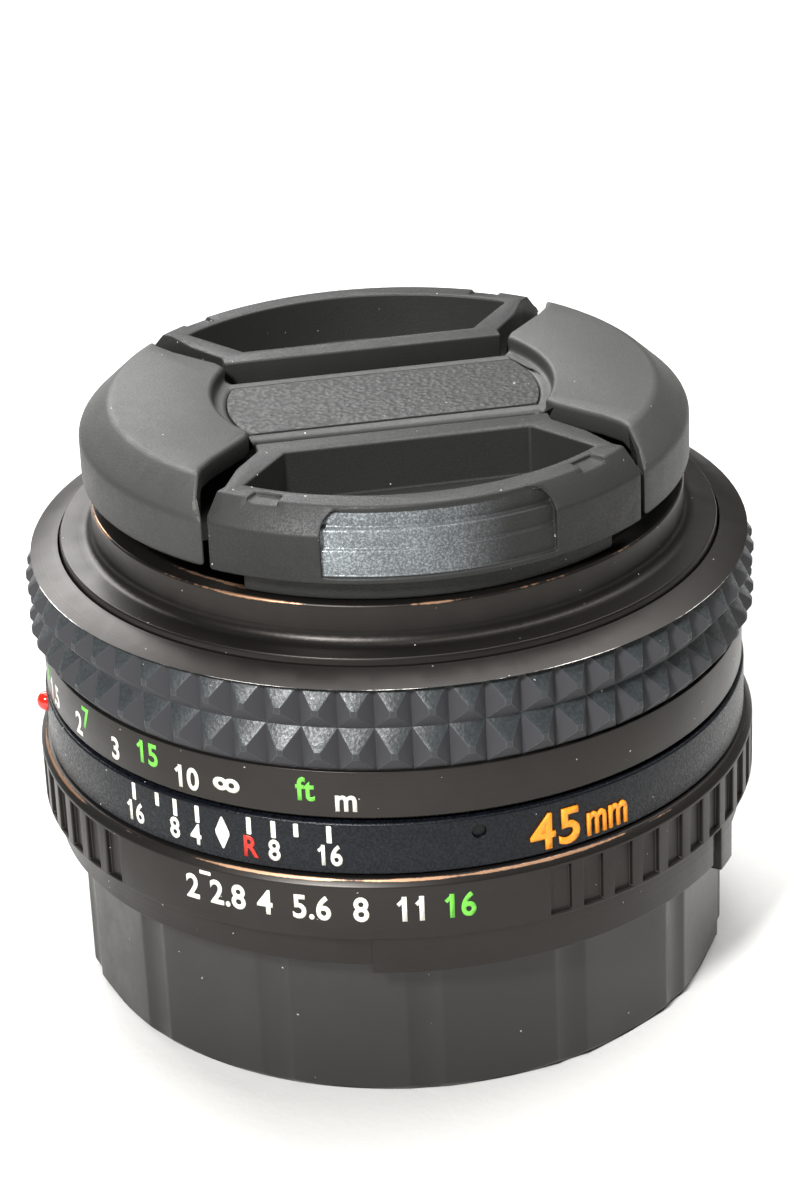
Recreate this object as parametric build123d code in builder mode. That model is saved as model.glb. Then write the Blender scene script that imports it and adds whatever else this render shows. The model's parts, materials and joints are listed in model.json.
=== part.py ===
from build123d import *
import os
from math import copysign, cos, radians, sin, sqrt

# A 45 mm f/2 prime lens with its pinch front cap and its rear cap, standing on the rear cap.
# Millimetres. The origin is the centre of the rear cap's foot, +Z is the optical axis towards
# the front, and the index mark is on the -Y side. Bearings are turned from -Y towards +X.
# The rings stand at infinity and at the f/2.8 click.

# ---- Clearances ----
running_fit = 0.05        # radial play of the rings and threads that turn
sliding_fit = 0.1         # play of keys and levers
ring_gap = 0.3            # axial gap between one ring and the next
seat_gap = 0.05           # play of glass in its seat
thin_gap = 0.2            # axial gap between hidden flanges
screw_play = 0.02         # radial play of a screw in its hole

# ---- Rear cap ----
rear_cap_height = 14.5
rear_cap_rim_wall = 4.2
lug_clearance = 0.8
rear_cap_floor = 1.8
rear_cap_wall = 2.0
rear_cap_rim_depth = 4.0
flute_count = 14
flute_bearing = 30.9
flute_depth = 0.35
flute_radius = 4.0
land_depth = 0.45         # how far the flat lands between the flutes are cut back

# ---- Bayonet mount ----
rear_cap_gap = 0.2
rear_cap_chamfer = 0.6
rear_cap_edge = 0.4
flange_width = 6.0
flange_overlap = 1.2      # how far the flange laps under the aperture ring
flange_thickness = 1.6
throat_least = 22.4       # throat radius, unless the stop-down lever needs more
throat_wall = 1.2
throat_depth = 3.5
lug_count = 3
lug_height = 1.8
lug_thickness = 1.3
lug_inset = 0.4
lug_span = 50.0
lug_bearing = 10.0
mount_screw_count = 4
mount_screw_radius = 0.7
mount_screw_head = 1.3
lock_hole_radius = 1.1
shroud_width = 2.9
shroud_thickness = 0.8
lever_slot_half = 1.0
lever_slot_margin = 6.0   # degrees past each end of the lever's swing
lever_offset = 1.0        # lever's circle outside the optical block

# ---- Optical block and its guides, from the axis outwards ----
cell_wall = 3.3
retainer_width = 0.8
pivot_wall = 2.3
lever_room = 3.0
guide_wall = 1.2
helicoid_gap = 1.5
helicoid_wall = 2.35
focus_helicoid_wall = 1.4
carrier_gap = 1.8
carrier_wall = 1.0
key_count = 2
key_width = 3.0
key_height = 2.3
key_bearing = 90.0

# ---- Outside rings ----
filter_thread_least = 24.5  # thread radius, unless the optical block needs more
filter_thread_pitch = 0.75
filter_thread_depth = 0.4
filter_thread_turns = 4
filter_wall = 1.4
filter_height = 3.35
ledge_width = 2.9
ledge_fillet = 1.0
ledge_rise = 0.6          # ledge above the focus ring's rim
ledge_edge = 0.25
filter_seat_depth = 1.5
filter_wall_foot = 1.2
filter_edge = 0.15
filter_screw_radius = 0.58
filter_screw_head = 1.1
filter_screw_length = 2.2
filter_screw_count = 3
filter_screw_bearing = 20.0
filter_screw_inset = 0.1
filter_screw_land = 2.0   # seat's bore inside the screw circle
name_inner = 13.8
name_ring_rise = 3.5
lip_gap = 0.2
focus_wall = 1.75
focus_bearing_step = 0.2
rubber_seat = 0.4
rubber_thickness = 1.4
rubber_height = 7.7
focus_band_height = 4.4
focus_rim_height = 0.85
focus_rim_step = 0.5
focus_chamfer = 0.2
row_groove_depth = 0.5
row_groove_half = 0.3
helicoid_flange_depth = 5.3
helicoid_flange_thickness = 0.9
guide_headroom = 2.4
groove_drop = 1.2
groove_half = 0.5
guide_screw_radius = 0.42
guide_screw_bearings = (30, 150, 270)
helicoid_screw_radius = 0.37
helicoid_screw_bearings = (90, 210, 330)
helicoid_screw_reach = 1.1
scale_step = 0.2
scale_height = 4.8
scale_gap = 0.15
scale_chamfer = 0.15
set_screw_radius = 0.55
set_screw_bearings = (40, 160, 280)
set_screw_height = 3.4
bead_radius = 0.9
bead_bearing = -54.0
bead_height = 3.5
aperture_step = 0.8
aperture_height = 5.55
aperture_chamfer = 0.6
aperture_stand_off = 0.7  # ring's rear face above the mount flange
skirt_wall = 1.4
skirt_inset = 1.1
skirt_drop = 3.1
skirt_step = 0.7          # how far the stepped band stands out from the skirt
skirt_edge = 0.4
band_bearings = (23, 87)
claw_bearings = (90, 95)
claw_drop = 1.8
rib_pitch = 5.6
rib_count = 52
rib_width = 1.2
rib_depth = 0.45
rib_first_bearing = 49.5
rib_margin = 0.3

# ---- Heights of the fixed barrel ----
barrel_floor = 2.0
shoulder_thickness = 2.0
shoulder_overhang = 1.0
middle_wall = 1.6

# ---- Iris ----
iris_height = 9.9         # base plate above the barrel's rear face
blade_count = 6
iris_open_radius = 9.2
pivot_radius = 14.6
pivot_inset = 0.8         # blade's outer edge inside its pivot
lever_tail_half = 0.7
pin_radius = 0.4
blade_thickness = 0.12
blade_pitch = 0.16
blade_start = -4.0
blade_end = 125.0
drive_pin_bearing = 20.0
base_plate_thickness = 0.6
drive_ring_thickness = 0.6
blade_swing = 32.0        # from f/2 to f/16
aperture_open = 6.1       # turn of the aperture ring from f/2.8 to f/2
aperture_closed = -35.5   # and from f/2.8 to f/16
lever_plate = 0.8
lever_arm_half_angle = 2.4
lever_arm_height = 7.3    # above the iris base plate's level
lever_ratio = 0.6         # turn of the iris ring for each turn of the aperture ring

# ---- Glass: rim radius, then for the front and the rear face the vertex height above the
# iris plate and the radius of curvature (positive bulges to the front) ----
glass = {
    "element_1": (12.8, 14.8, 27.0, 12.0, 80.0),
    "element_2": (10.8, 11.7, 17.0, 8.0, 60.0),
    "element_3": (9.4, 7.7, 50.0, 6.5, 14.0),
    "element_4": (9.2, -4.2, -13.5, -5.4, 28.0),
    "element_5": (9.2, -5.4, 28.0, -10.3, -18.0),
    "element_6": (10.0, -10.6, 60.0, -14.0, -30.0),
}

# ---- Front cap ----
cap_bearing = 37.8
cap_stand_off = 2.0
cap_pattern_radius = 26.4  # the cap radius that the cap's plan below is drawn for
cap_overhang = 0.5         # cap outside the filter ring
cap_slope = 2.8            # the top's radius inside the wall's
cap_wall_height = 4.2
cap_bevel_height = 2.6
cap_wall = 2.0
cap_top = 2.0
cap_slit = 0.4
bridge_half = 6.6
label_half = 5.25
label_radius = 13.5
label_depth = 1.7
label_thickness = 0.4
tab_travel = 1.5
tab_rim = 2.0
tab_drop = 0.5
tab_back = 9.3
tab_floor = 0.7
tab_lip_height = 1.9
tooth_height = 1.7
grip_half_angle = 21.5
grip_depth = 0.5
grip_band_height = 1.6
grip_bands = ((1.4, 0.0), (1.0, 0.35), (1.0, 1.05))  # height share and inset of each step
grip_margin = 0.6
grip_corner = 2.2
dip_depth = 0.35
dip_bearings = (30.5, 36.5)
lip_inset = 1.3           # lip's outer face inside the cap's wall
tab_slope = 1.8
tab_wall_gap = 0.4
lip_half_angle = 38.0
tooth_half_angle = 25.0
post_radius = 1.2
post_bearings = (78, 102, 258, 282)
label_margin = 1.2
back_plate_thickness = 1.0
cap_spring_radius = 1.0
cap_spring_wire = 0.2
cap_spring_pitch = 1.5
cap_spring_offset = 8.0

# ---- Worked-out radii ----
iris_outer_radius = pivot_radius - pivot_inset
block_radius = max(glass["element_1"][0] + retainer_width + cell_wall, pivot_radius + pivot_wall)
lever_radius = block_radius + lever_offset
throat_radius = max(throat_least, lever_radius + lever_tail_half + throat_wall + 2 * thin_gap)
flange_radius = throat_radius + flange_width
lug_radius = throat_radius + lug_height
rim_bore = lug_radius + lug_clearance
rear_cap_radius = rim_bore + rear_cap_rim_wall
guide_bore = block_radius + lever_room
guide_radius = guide_bore + guide_wall
helicoid_bore = guide_radius + helicoid_gap
helicoid_radius = helicoid_bore + helicoid_wall
focus_helicoid_radius = helicoid_radius + running_fit + focus_helicoid_wall
filter_screw_circle = helicoid_bore - filter_screw_inset
block_seat_radius = filter_screw_circle - filter_screw_land
filter_thread_radius = max(
    filter_thread_least,
    filter_screw_circle + filter_screw_head + filter_screw_inset + filter_thread_depth,
)
filter_radius = filter_thread_radius + filter_wall
cap_scale = (filter_radius + cap_overhang) / cap_pattern_radius
cap_radius = cap_pattern_radius * cap_scale
cap_top_radius = cap_radius - cap_slope
cap_slot_half = 18.4 * cap_scale
carrier_bore = max(
    filter_radius + ledge_width + lip_gap + focus_bearing_step - carrier_wall,
    focus_helicoid_radius + carrier_gap,
    flange_radius - flange_overlap + shoulder_overhang,
)
carrier_radius = carrier_bore + carrier_wall
lip_radius = carrier_radius - focus_bearing_step - lip_gap
focus_bore = carrier_radius + running_fit
focus_radius = focus_bore + focus_wall
scale_radius = focus_radius + scale_step
aperture_radius = scale_radius + aperture_step
middle_radius = carrier_bore - shoulder_overhang
shoulder_radius = carrier_radius + shoulder_overhang

# ---- Worked-out heights ----
flange_z = rear_cap_height + rear_cap_gap
barrel_z = flange_z + flange_thickness
floor_z = barrel_z + barrel_floor
aperture_z = barrel_z + aperture_stand_off
aperture_top = aperture_z + aperture_height
shoulder_z = aperture_top + ring_gap + 0.05
shoulder_top = shoulder_z + shoulder_thickness
scale_z = aperture_top + scale_gap
scale_top = scale_z + scale_height
focus_z = scale_top + ring_gap
rubber_z = focus_z + focus_band_height
rubber_top = rubber_z + rubber_height
focus_top = rubber_top + focus_rim_height
ledge_z = focus_top + ledge_rise
rim_z = ledge_z + filter_height
helicoid_flange_z = rubber_top - helicoid_flange_depth
carrier_top = helicoid_flange_z - thin_gap
filter_seat_z = rubber_top - filter_seat_depth
guide_top = filter_seat_z - guide_headroom
cap_z = rim_z + cap_stand_off
cap_shoulder_z = cap_z + cap_wall_height
cap_top_z = cap_shoulder_z + cap_bevel_height
iris_z = barrel_z + iris_height
blade_z = iris_z + base_plate_thickness + 0.1
drive_ring_z = blade_z + blade_count * blade_pitch + 0.14
iris_cover_z = drive_ring_z + drive_ring_thickness + 0.2

os.makedirs("parts", exist_ok=True)


def turn(outline, mode=Mode.ADD):
    """Turn a closed outline of (radius, height) points about the optical axis."""
    with BuildSketch(Plane.XZ) as section:
        with BuildLine():
            Polyline(*outline, close=True)
        make_face()
    revolve(section.sketch, axis=Axis.Z, mode=mode)


def ring(inner, outer, bottom, top, mode=Mode.ADD):
    """Add or cut a plain ring."""
    turn([(inner, bottom), (outer, bottom), (outer, top), (inner, top)], mode)


def arc_band(inner, outer, first, last, bottom, top, mode=Mode.ADD):
    """Add or cut a ring's stretch from one bearing to another, less than half a turn."""
    reach = 2 * outer
    middle = (first + last) / 2
    with BuildSketch(Plane.XY.offset(bottom)) as band:
        Circle(outer)
        Circle(inner, mode=Mode.SUBTRACT)
        with BuildLine():
            Polyline((0, 0), polar(reach, first), polar(reach, middle), polar(reach, last), close=True)
        make_face(mode=Mode.INTERSECT)
    extrude(band.sketch, amount=top - bottom, mode=mode)


def polar(radius, bearing):
    """Plan point at a radius and a bearing from -Y."""
    return (radius * sin(radians(bearing)), -radius * cos(radians(bearing)))


def bearing_plane(radius, bearing, height):
    """Plane on a ring's surface with its normal pointing straight out."""
    x, y = polar(radius, bearing)
    across, along = polar(1, bearing + 90)
    return Plane(origin=(x, y, height), x_dir=(across, along, 0), z_dir=(x, y, 0))


def finish(piece, name):
    """Label a finished piece and write it."""
    piece.part.label = name
    export_step(piece.part, "parts/" + name + ".step")


def face_height(vertex, curvature, radius):
    """Height of a spherical glass face at a radius."""
    return vertex - curvature + copysign(sqrt(curvature**2 - radius**2), curvature)


# ================= Fixed barrel =================

with BuildPart() as bayonet_mount:
    ring(throat_radius - throat_wall, flange_radius, flange_z, barrel_z)
    ring(throat_radius - throat_wall, throat_radius, flange_z - throat_depth, flange_z)
    lug_z = flange_z - throat_depth + lug_inset
    for lug in range(lug_count):
        start = lug_bearing + lug * 360 / lug_count
        arc_band(throat_radius - throat_wall / 2, lug_radius, start, start + lug_span, lug_z, lug_z + lug_thickness)
    mount_screw_circle = (lug_radius + flange_radius) / 2 - 1.0
    with Locations(Plane.XY.offset(flange_z).rotated((180, 0, 0))):
        with PolarLocations(mount_screw_circle, mount_screw_count, start_angle=45):
            CounterSinkHole(mount_screw_radius, mount_screw_head, depth=flange_thickness)
        with PolarLocations(mount_screw_circle, 1, start_angle=0):
            Hole(lock_hole_radius, depth=flange_thickness / 2)
finish(bayonet_mount, "bayonet_mount")

with BuildPart() as mount_screws:
    head_depth = mount_screw_head - mount_screw_radius
    screw_outline = [
        (0, 0),
        (mount_screw_head - 0.05, 0),
        (mount_screw_radius - 0.02, head_depth),
        (mount_screw_radius - 0.02, flange_thickness + barrel_floor - 0.2),
        (0, flange_thickness + barrel_floor - 0.2),
    ]
    with BuildPart(mode=Mode.PRIVATE) as mount_screw:
        turn(screw_outline)
    with Locations((0, 0, flange_z)):
        with PolarLocations(mount_screw_circle, mount_screw_count, start_angle=45):
            add(mount_screw.part)
finish(mount_screws, "mount_screws")

with BuildPart() as rear_shroud:
    shroud_inner = block_radius - shroud_width
    shroud_z = flange_z + thin_gap
    ring(shroud_inner, throat_radius - throat_wall, shroud_z, shroud_z + shroud_thickness)
    lever_slot_start = 180 + lever_ratio * aperture_closed - lever_slot_margin
    lever_slot_end = 180 + lever_ratio * aperture_open + lever_slot_margin
    arc_band(lever_radius - lever_slot_half, lever_radius + lever_slot_half, lever_slot_start, lever_slot_end,
             shroud_z, shroud_z + shroud_thickness, Mode.SUBTRACT)
finish(rear_shroud, "rear_shroud")

with BuildPart() as main_barrel:
    turn([
        (shroud_inner, barrel_z),
        (middle_radius, barrel_z),
        (middle_radius, shoulder_z),
        (shoulder_radius, shoulder_z),
        (shoulder_radius, shoulder_top),
        (carrier_radius, shoulder_top),
        (carrier_radius, carrier_top),
        (carrier_bore, carrier_top),
        (carrier_bore, shoulder_top),
        (middle_radius - middle_wall, shoulder_top),
        (middle_radius - middle_wall, floor_z),
        (guide_radius, floor_z),
        (guide_radius, guide_top),
        (guide_bore, guide_top),
        (guide_bore, floor_z),
        (shroud_inner, floor_z),
    ])
    arc_band(lever_radius - lever_slot_half, lever_radius + lever_slot_half, lever_slot_start, lever_slot_end,
             barrel_z, floor_z, Mode.SUBTRACT)
    groove_z = carrier_top - groove_drop
    ring(carrier_radius - carrier_wall / 2, carrier_radius + 1, groove_z - groove_half, groove_z + groove_half, Mode.SUBTRACT)
    with PolarLocations(mount_screw_circle, mount_screw_count, start_angle=-45):
        with Locations((0, 0, barrel_z)):
            Cylinder(mount_screw_radius, 2 * barrel_floor, mode=Mode.SUBTRACT)
    click_radius = middle_radius + 0.8
    click_ball_radius = (shoulder_top - aperture_top - 0.05) / 2
    click_x, click_y = polar(click_radius, 150)
    with Locations((click_x, click_y, shoulder_z)):
        Cylinder(click_ball_radius + 0.05, 3 * shoulder_thickness, mode=Mode.SUBTRACT)
finish(main_barrel, "main_barrel")

with BuildPart() as click_ball:
    with Locations((click_x, click_y, shoulder_top - click_ball_radius)):
        Sphere(click_ball_radius)
finish(click_ball, "click_ball")

with BuildPart() as click_spring:
    spring_inner = focus_helicoid_radius + 0.15
    spring_outer = carrier_bore - 0.2
    arc_band(spring_inner, spring_outer, 130, 165, shoulder_top, shoulder_top + 0.2)
    rivet_x, rivet_y = polar((spring_inner + spring_outer) / 2, 134)
    with Locations((rivet_x, rivet_y, shoulder_top + 0.3)):
        Cylinder(0.7, 0.6)
finish(click_spring, "click_spring")

with BuildPart() as guide_keys:
    key_top = guide_top - 2.5
    with PolarLocations(guide_radius + key_height / 2, key_count, start_angle=key_bearing - 90):
        with Locations((0, 0, (floor_z + 0.3 + key_top) / 2)):
            Box(key_height, key_width, key_top - floor_z - 0.3)
    ring(0, guide_radius, barrel_z, rim_z, Mode.SUBTRACT)
finish(guide_keys, "guide_keys")

with BuildPart() as scale_ring:
    turn([
        (shoulder_radius, scale_z),
        (scale_radius, scale_z),
        (scale_radius, scale_top),
        (carrier_radius, scale_top),
        (carrier_radius, shoulder_top),
        (shoulder_radius, shoulder_top),
    ])
    chamfer(scale_ring.edges().filter_by(GeomType.CIRCLE).group_by(SortBy.RADIUS)[-1], length=scale_chamfer)
    for bearing in set_screw_bearings:
        with Locations(bearing_plane(scale_radius, bearing, scale_z + set_screw_height)):
            Cylinder(set_screw_radius + running_fit, 2 * (scale_radius - carrier_radius) + 1, mode=Mode.SUBTRACT)
finish(scale_ring, "scale_ring")

with BuildPart() as scale_ring_screws:
    screw_length = scale_radius - carrier_radius - 0.4
    for bearing in set_screw_bearings:
        with Locations(bearing_plane(carrier_radius + 0.1 + screw_length / 2, bearing, scale_z + set_screw_height)):
            Cylinder(set_screw_radius, screw_length)
finish(scale_ring_screws, "scale_ring_screws")

with BuildPart() as index_bead:
    bead_z = scale_z + bead_height
    bead_x, bead_y = polar(scale_radius, bead_bearing)
    with Locations((bead_x, bead_y, bead_z)):
        Sphere(bead_radius)
    ring(0, scale_radius, bead_z - 2 * bead_radius, bead_z + 2 * bead_radius, Mode.SUBTRACT)
finish(index_bead, "index_bead")

# ================= Aperture ring and stop-down lever =================

with BuildPart() as aperture_ring:
    skirt_outer = shoulder_radius + skirt_step
    skirt_z = aperture_z - skirt_drop
    turn([
        (middle_radius + running_fit, barrel_z + 0.2),
        (skirt_outer - skirt_wall, barrel_z + 0.2),
        (skirt_outer - skirt_wall, skirt_z),
        (skirt_outer, skirt_z),
        (skirt_outer, aperture_z),
        (aperture_radius, aperture_z),
        (aperture_radius, aperture_top - aperture_chamfer),
        (aperture_radius - aperture_chamfer, aperture_top),
        (middle_radius + running_fit, aperture_top),
    ])
    band_outer = skirt_outer + skirt_step
    band_z = skirt_z - skirt_edge
    arc_band(skirt_outer - 0.2, band_outer, *band_bearings, band_z, aperture_z)
    arc_band(skirt_outer - skirt_wall, band_outer, *band_bearings, band_z, skirt_z)
    arc_band(skirt_outer - skirt_wall, band_outer, *claw_bearings, skirt_z - claw_drop, aperture_z)
    rib_zone = aperture_height - aperture_chamfer - 2 * rib_margin
    groove_width = radians(rib_pitch) * aperture_radius - rib_width
    first_groove = rib_first_bearing + rib_pitch / 2 - 90
    with Locations((0, 0, aperture_z + rib_margin + rib_zone / 2)):
        with PolarLocations(aperture_radius, rib_count, first_groove, (rib_count - 1) * rib_pitch, endpoint=True):
            Box(2 * rib_depth, groove_width, rib_zone, mode=Mode.SUBTRACT)
finish(aperture_ring, "aperture_ring")

with BuildPart() as stop_down_lever:
    lever_z = floor_z + running_fit
    arm_half = lever_arm_half_angle
    ring(lever_radius - 1.2, guide_bore - 0.2, lever_z, lever_z + lever_plate)
    arc_band(lever_radius - 0.5, lever_radius + 0.4, 180 - arm_half, 180 + arm_half, lever_z, iris_z + lever_arm_height)
    arc_band(lever_radius - lever_tail_half, lever_radius + lever_tail_half, 180 - arm_half, 180 + arm_half,
             flange_z - throat_depth - 0.7, lever_z)
finish(stop_down_lever, "stop_down_lever")

with BuildPart() as lever_retaining_ring:
    ring(guide_bore - 0.9, guide_bore, lever_z + lever_plate + 0.1, lever_z + lever_plate + 0.45)
finish(lever_retaining_ring, "lever_retaining_ring")

# ================= Focus ring =================

with BuildPart() as focus_ring:
    core_radius = focus_radius - rubber_seat
    focus_top_bore = lip_radius + lip_gap
    turn([
        (focus_bore, focus_z),
        (focus_radius - focus_chamfer, focus_z),
        (focus_radius, focus_z + focus_chamfer),
        (focus_radius, rubber_z),
        (core_radius, rubber_z),
        (core_radius, rubber_top),
        (focus_radius + focus_rim_step, rubber_top),
        (focus_top_bore, focus_top),
        (focus_top_bore, helicoid_flange_z),
        (focus_bore, helicoid_flange_z),
    ])
    screw_z = helicoid_flange_z + helicoid_flange_thickness / 2
    for bearing in guide_screw_bearings:
        with Locations(bearing_plane(core_radius, bearing, groove_z)):
            Cylinder(guide_screw_radius + 1.5 * screw_play, 4 * focus_wall, mode=Mode.SUBTRACT)
    for bearing in helicoid_screw_bearings:
        with Locations(bearing_plane(core_radius, bearing, screw_z)):
            Cylinder(helicoid_screw_radius + 1.5 * screw_play, 4 * focus_wall, mode=Mode.SUBTRACT)
finish(focus_ring, "focus_ring")

with BuildPart() as rubber_grip:
    ring(core_radius, core_radius + rubber_thickness, rubber_z, rubber_top)
    row_z = (rubber_z + rubber_top) / 2
    ring(core_radius + rubber_thickness - row_groove_depth, core_radius + rubber_thickness + 1,
         row_z - row_groove_half, row_z + row_groove_half, Mode.SUBTRACT)
finish(rubber_grip, "rubber_grip")

with BuildPart() as focus_helicoid:
    turn([
        (helicoid_radius + running_fit, shoulder_top + 0.3),
        (focus_helicoid_radius, shoulder_top + 0.3),
        (focus_helicoid_radius, helicoid_flange_z),
        (focus_top_bore, helicoid_flange_z),
        (focus_top_bore, helicoid_flange_z + helicoid_flange_thickness),
        (helicoid_radius + running_fit, helicoid_flange_z + helicoid_flange_thickness),
    ])
    for bearing in helicoid_screw_bearings:
        with Locations(bearing_plane(focus_top_bore, bearing, screw_z)):
            Cylinder(helicoid_screw_radius + 1.5 * screw_play, 2 * helicoid_screw_reach + 0.2, mode=Mode.SUBTRACT)
finish(focus_helicoid, "focus_helicoid")

with BuildPart() as focus_guide_screws:
    tip = carrier_radius - 0.4
    for bearing in guide_screw_bearings:
        with Locations(bearing_plane((tip + core_radius) / 2, bearing, groove_z)):
            Cylinder(guide_screw_radius, core_radius - tip - 0.1)
finish(focus_guide_screws, "focus_guide_screws")

with BuildPart() as helicoid_screws:
    tip = focus_top_bore - helicoid_screw_reach
    for bearing in helicoid_screw_bearings:
        with Locations(bearing_plane((tip + core_radius) / 2, bearing, screw_z)):
            Cylinder(helicoid_screw_radius, core_radius - tip - 0.1)
finish(helicoid_screws, "helicoid_screws")

# ================= Travelling front barrel =================

with BuildPart() as inner_helicoid:
    thread_crest = filter_thread_radius - filter_thread_depth
    turn([
        (helicoid_bore, floor_z + 3.7),
        (helicoid_radius, floor_z + 3.7),
        (helicoid_radius, filter_seat_z),
        (block_radius + sliding_fit, filter_seat_z),
        (block_radius + sliding_fit, filter_seat_z - filter_wall_foot),
        (helicoid_bore, filter_seat_z - filter_wall_foot),
    ])
    slot_depth = guide_radius + key_height + sliding_fit
    with PolarLocations(slot_depth / 2, key_count, start_angle=key_bearing - 90):
        with Locations((0, 0, (floor_z + filter_seat_z - filter_wall_foot) / 2)):
            Box(slot_depth, key_width + 2 * sliding_fit, filter_seat_z - filter_wall_foot - floor_z, mode=Mode.SUBTRACT)
    with PolarLocations(filter_screw_circle, filter_screw_count, start_angle=filter_screw_bearing):
        with Locations((0, 0, filter_seat_z)):
            Cylinder(filter_screw_radius + screw_play, filter_screw_length, mode=Mode.SUBTRACT)
finish(inner_helicoid, "inner_helicoid")

with BuildPart() as filter_ring:
    skirt_radius = lip_radius - 1.0
    skirt_bottom = helicoid_flange_z + helicoid_flange_thickness + 0.3
    thread_root = filter_thread_radius
    turn([
        (block_seat_radius + 0.2, filter_seat_z),
        (skirt_radius, filter_seat_z),
        (skirt_radius, skirt_bottom),
        (lip_radius, skirt_bottom),
        (lip_radius, ledge_z - ledge_edge),
        (lip_radius - 0.1, ledge_z),
        (filter_radius, ledge_z - 0.1),
        (filter_radius, rim_z - filter_edge),
        (filter_radius - filter_edge, rim_z),
        (thread_crest, rim_z),
        (thread_crest, filter_seat_z + filter_wall_foot),
        (block_seat_radius + 0.2, filter_seat_z + filter_wall_foot),
    ])
    ledge_corner = filter_ring.edges().filter_by(GeomType.CIRCLE).filter_by(
        lambda e: abs(e.radius - filter_radius) < 0.01 and e.center().Z < ledge_z)
    fillet(ledge_corner, radius=ledge_fillet)
    groove_half_height = filter_thread_pitch * 0.44
    for turn_number in range(filter_thread_turns):
        groove_centre = rim_z - 0.5 - (turn_number + 0.5) * filter_thread_pitch
        turn([
            (thread_crest - 0.1, groove_centre - groove_half_height),
            (thread_root, groove_centre - 0.05),
            (thread_root, groove_centre + 0.05),
            (thread_crest - 0.1, groove_centre + groove_half_height),
        ], Mode.SUBTRACT)
    with PolarLocations(filter_screw_circle, filter_screw_count, start_angle=filter_screw_bearing):
        with Locations((0, 0, filter_seat_z)):
            Cylinder(filter_screw_radius + screw_play, 6, mode=Mode.SUBTRACT)
finish(filter_ring, "filter_ring")

with BuildPart() as filter_ring_screws:
    with PolarLocations(filter_screw_circle, filter_screw_count, start_angle=filter_screw_bearing):
        with Locations((0, 0, filter_seat_z + filter_wall_foot)):
            Cylinder(filter_screw_head, 0.5, align=(Align.CENTER, Align.CENTER, Align.MIN))
            Cylinder(filter_screw_radius, filter_screw_length, align=(Align.CENTER, Align.CENTER, Align.MAX))
finish(filter_ring_screws, "filter_ring_screws")

with BuildPart() as name_ring:
    name_outer = thread_crest - 0.1
    name_z = filter_seat_z + name_ring_rise
    turn([
        (name_inner, name_z - 1.5),
        (name_inner + 0.6, name_z - 1.5),
        (name_outer, name_z - 0.6),
        (name_outer, name_z),
        (name_inner, name_z - 0.9),
    ])
finish(name_ring, "name_ring")

# ================= Optical block =================

for name, (rim, front, front_curve, rear, rear_curve) in glass.items():
    front_z = iris_z + front
    rear_z = iris_z + rear
    with BuildPart() as element:
        with BuildSketch(Plane.XZ):
            with BuildLine():
                Line((0, rear_z), (0, front_z))
                ThreePointArc((0, front_z), (rim / 2, face_height(front_z, front_curve, rim / 2)),
                              (rim, face_height(front_z, front_curve, rim)))
                Line((rim, face_height(front_z, front_curve, rim)), (rim, face_height(rear_z, rear_curve, rim)))
                ThreePointArc((rim, face_height(rear_z, rear_curve, rim)),
                              (rim / 2, face_height(rear_z, rear_curve, rim / 2)), (0, rear_z))
            make_face()
        revolve(axis=Axis.Z)
    finish(element, name)


def glass_rim(name):
    """Rim radius and the heights of the front and rear edges of a glass element."""
    rim, front, front_curve, rear, rear_curve = glass[name]
    return rim, face_height(iris_z + front, front_curve, rim), face_height(iris_z + rear, rear_curve, rim)


rim_1, front_1, rear_1 = glass_rim("element_1")
rim_2, front_2, rear_2 = glass_rim("element_2")
rim_3, front_3, rear_3 = glass_rim("element_3")
rim_4, front_4, rear_4 = glass_rim("element_4")
rim_5, front_5, rear_5 = glass_rim("element_5")
rim_6, front_6, rear_6 = glass_rim("element_6")

with BuildPart() as front_cell:
    seat_1 = rear_1 - seat_gap
    seat_2 = rear_2 - seat_gap
    seat_3 = rear_3 - seat_gap
    cell_top = filter_seat_z + 1.4
    ring_bore = rim_1 + retainer_width
    turn([
        (iris_open_radius - 0.4, iris_cover_z - 0.1),
        (block_radius - 0.85, iris_cover_z - 0.1),
        (block_radius - 0.85, iris_z),
        (block_radius, iris_z),
        (block_radius, filter_seat_z),
        (block_seat_radius, filter_seat_z),
        (block_seat_radius, filter_seat_z + filter_wall_foot),
        (block_radius - 0.9, filter_seat_z + filter_wall_foot),
        (block_radius - 0.9, cell_top),
        (ring_bore, cell_top),
        (ring_bore, front_1),
        (rim_1 + seat_gap, front_1),
        (rim_1 + seat_gap, seat_1),
        (rim_2 + seat_gap, seat_1),
        (rim_2 + seat_gap, seat_2),
        (rim_3 + seat_gap, seat_2),
        (rim_3 + seat_gap, seat_3),
        (iris_open_radius - 0.4, seat_3),
    ])
    window_start = 180 + lever_ratio * aperture_closed - 14
    window_end = 180 + lever_ratio * aperture_open + 14
    arc_band(block_radius - 1.5, block_radius + 1, window_start, window_end,
             drive_ring_z - 0.1, iris_cover_z - 0.1, Mode.SUBTRACT)
finish(front_cell, "front_cell")

with BuildPart() as front_retaining_ring:
    ring_foot = face_height(iris_z + glass["element_1"][1], glass["element_1"][2], rim_1 - 0.8) + 0.05
    ring(rim_1 - 0.8, ring_bore - 0.02, ring_foot, cell_top - 0.1)
finish(front_retaining_ring, "front_retaining_ring")

with BuildPart() as front_spacer:
    spacer_foot = face_height(iris_z + glass["element_2"][1], glass["element_2"][2], rim_2 - 0.8) + 0.05
    ring(rim_2 - 0.8, rim_2, spacer_foot, rear_1 - 0.1)
finish(front_spacer, "front_spacer")

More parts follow.
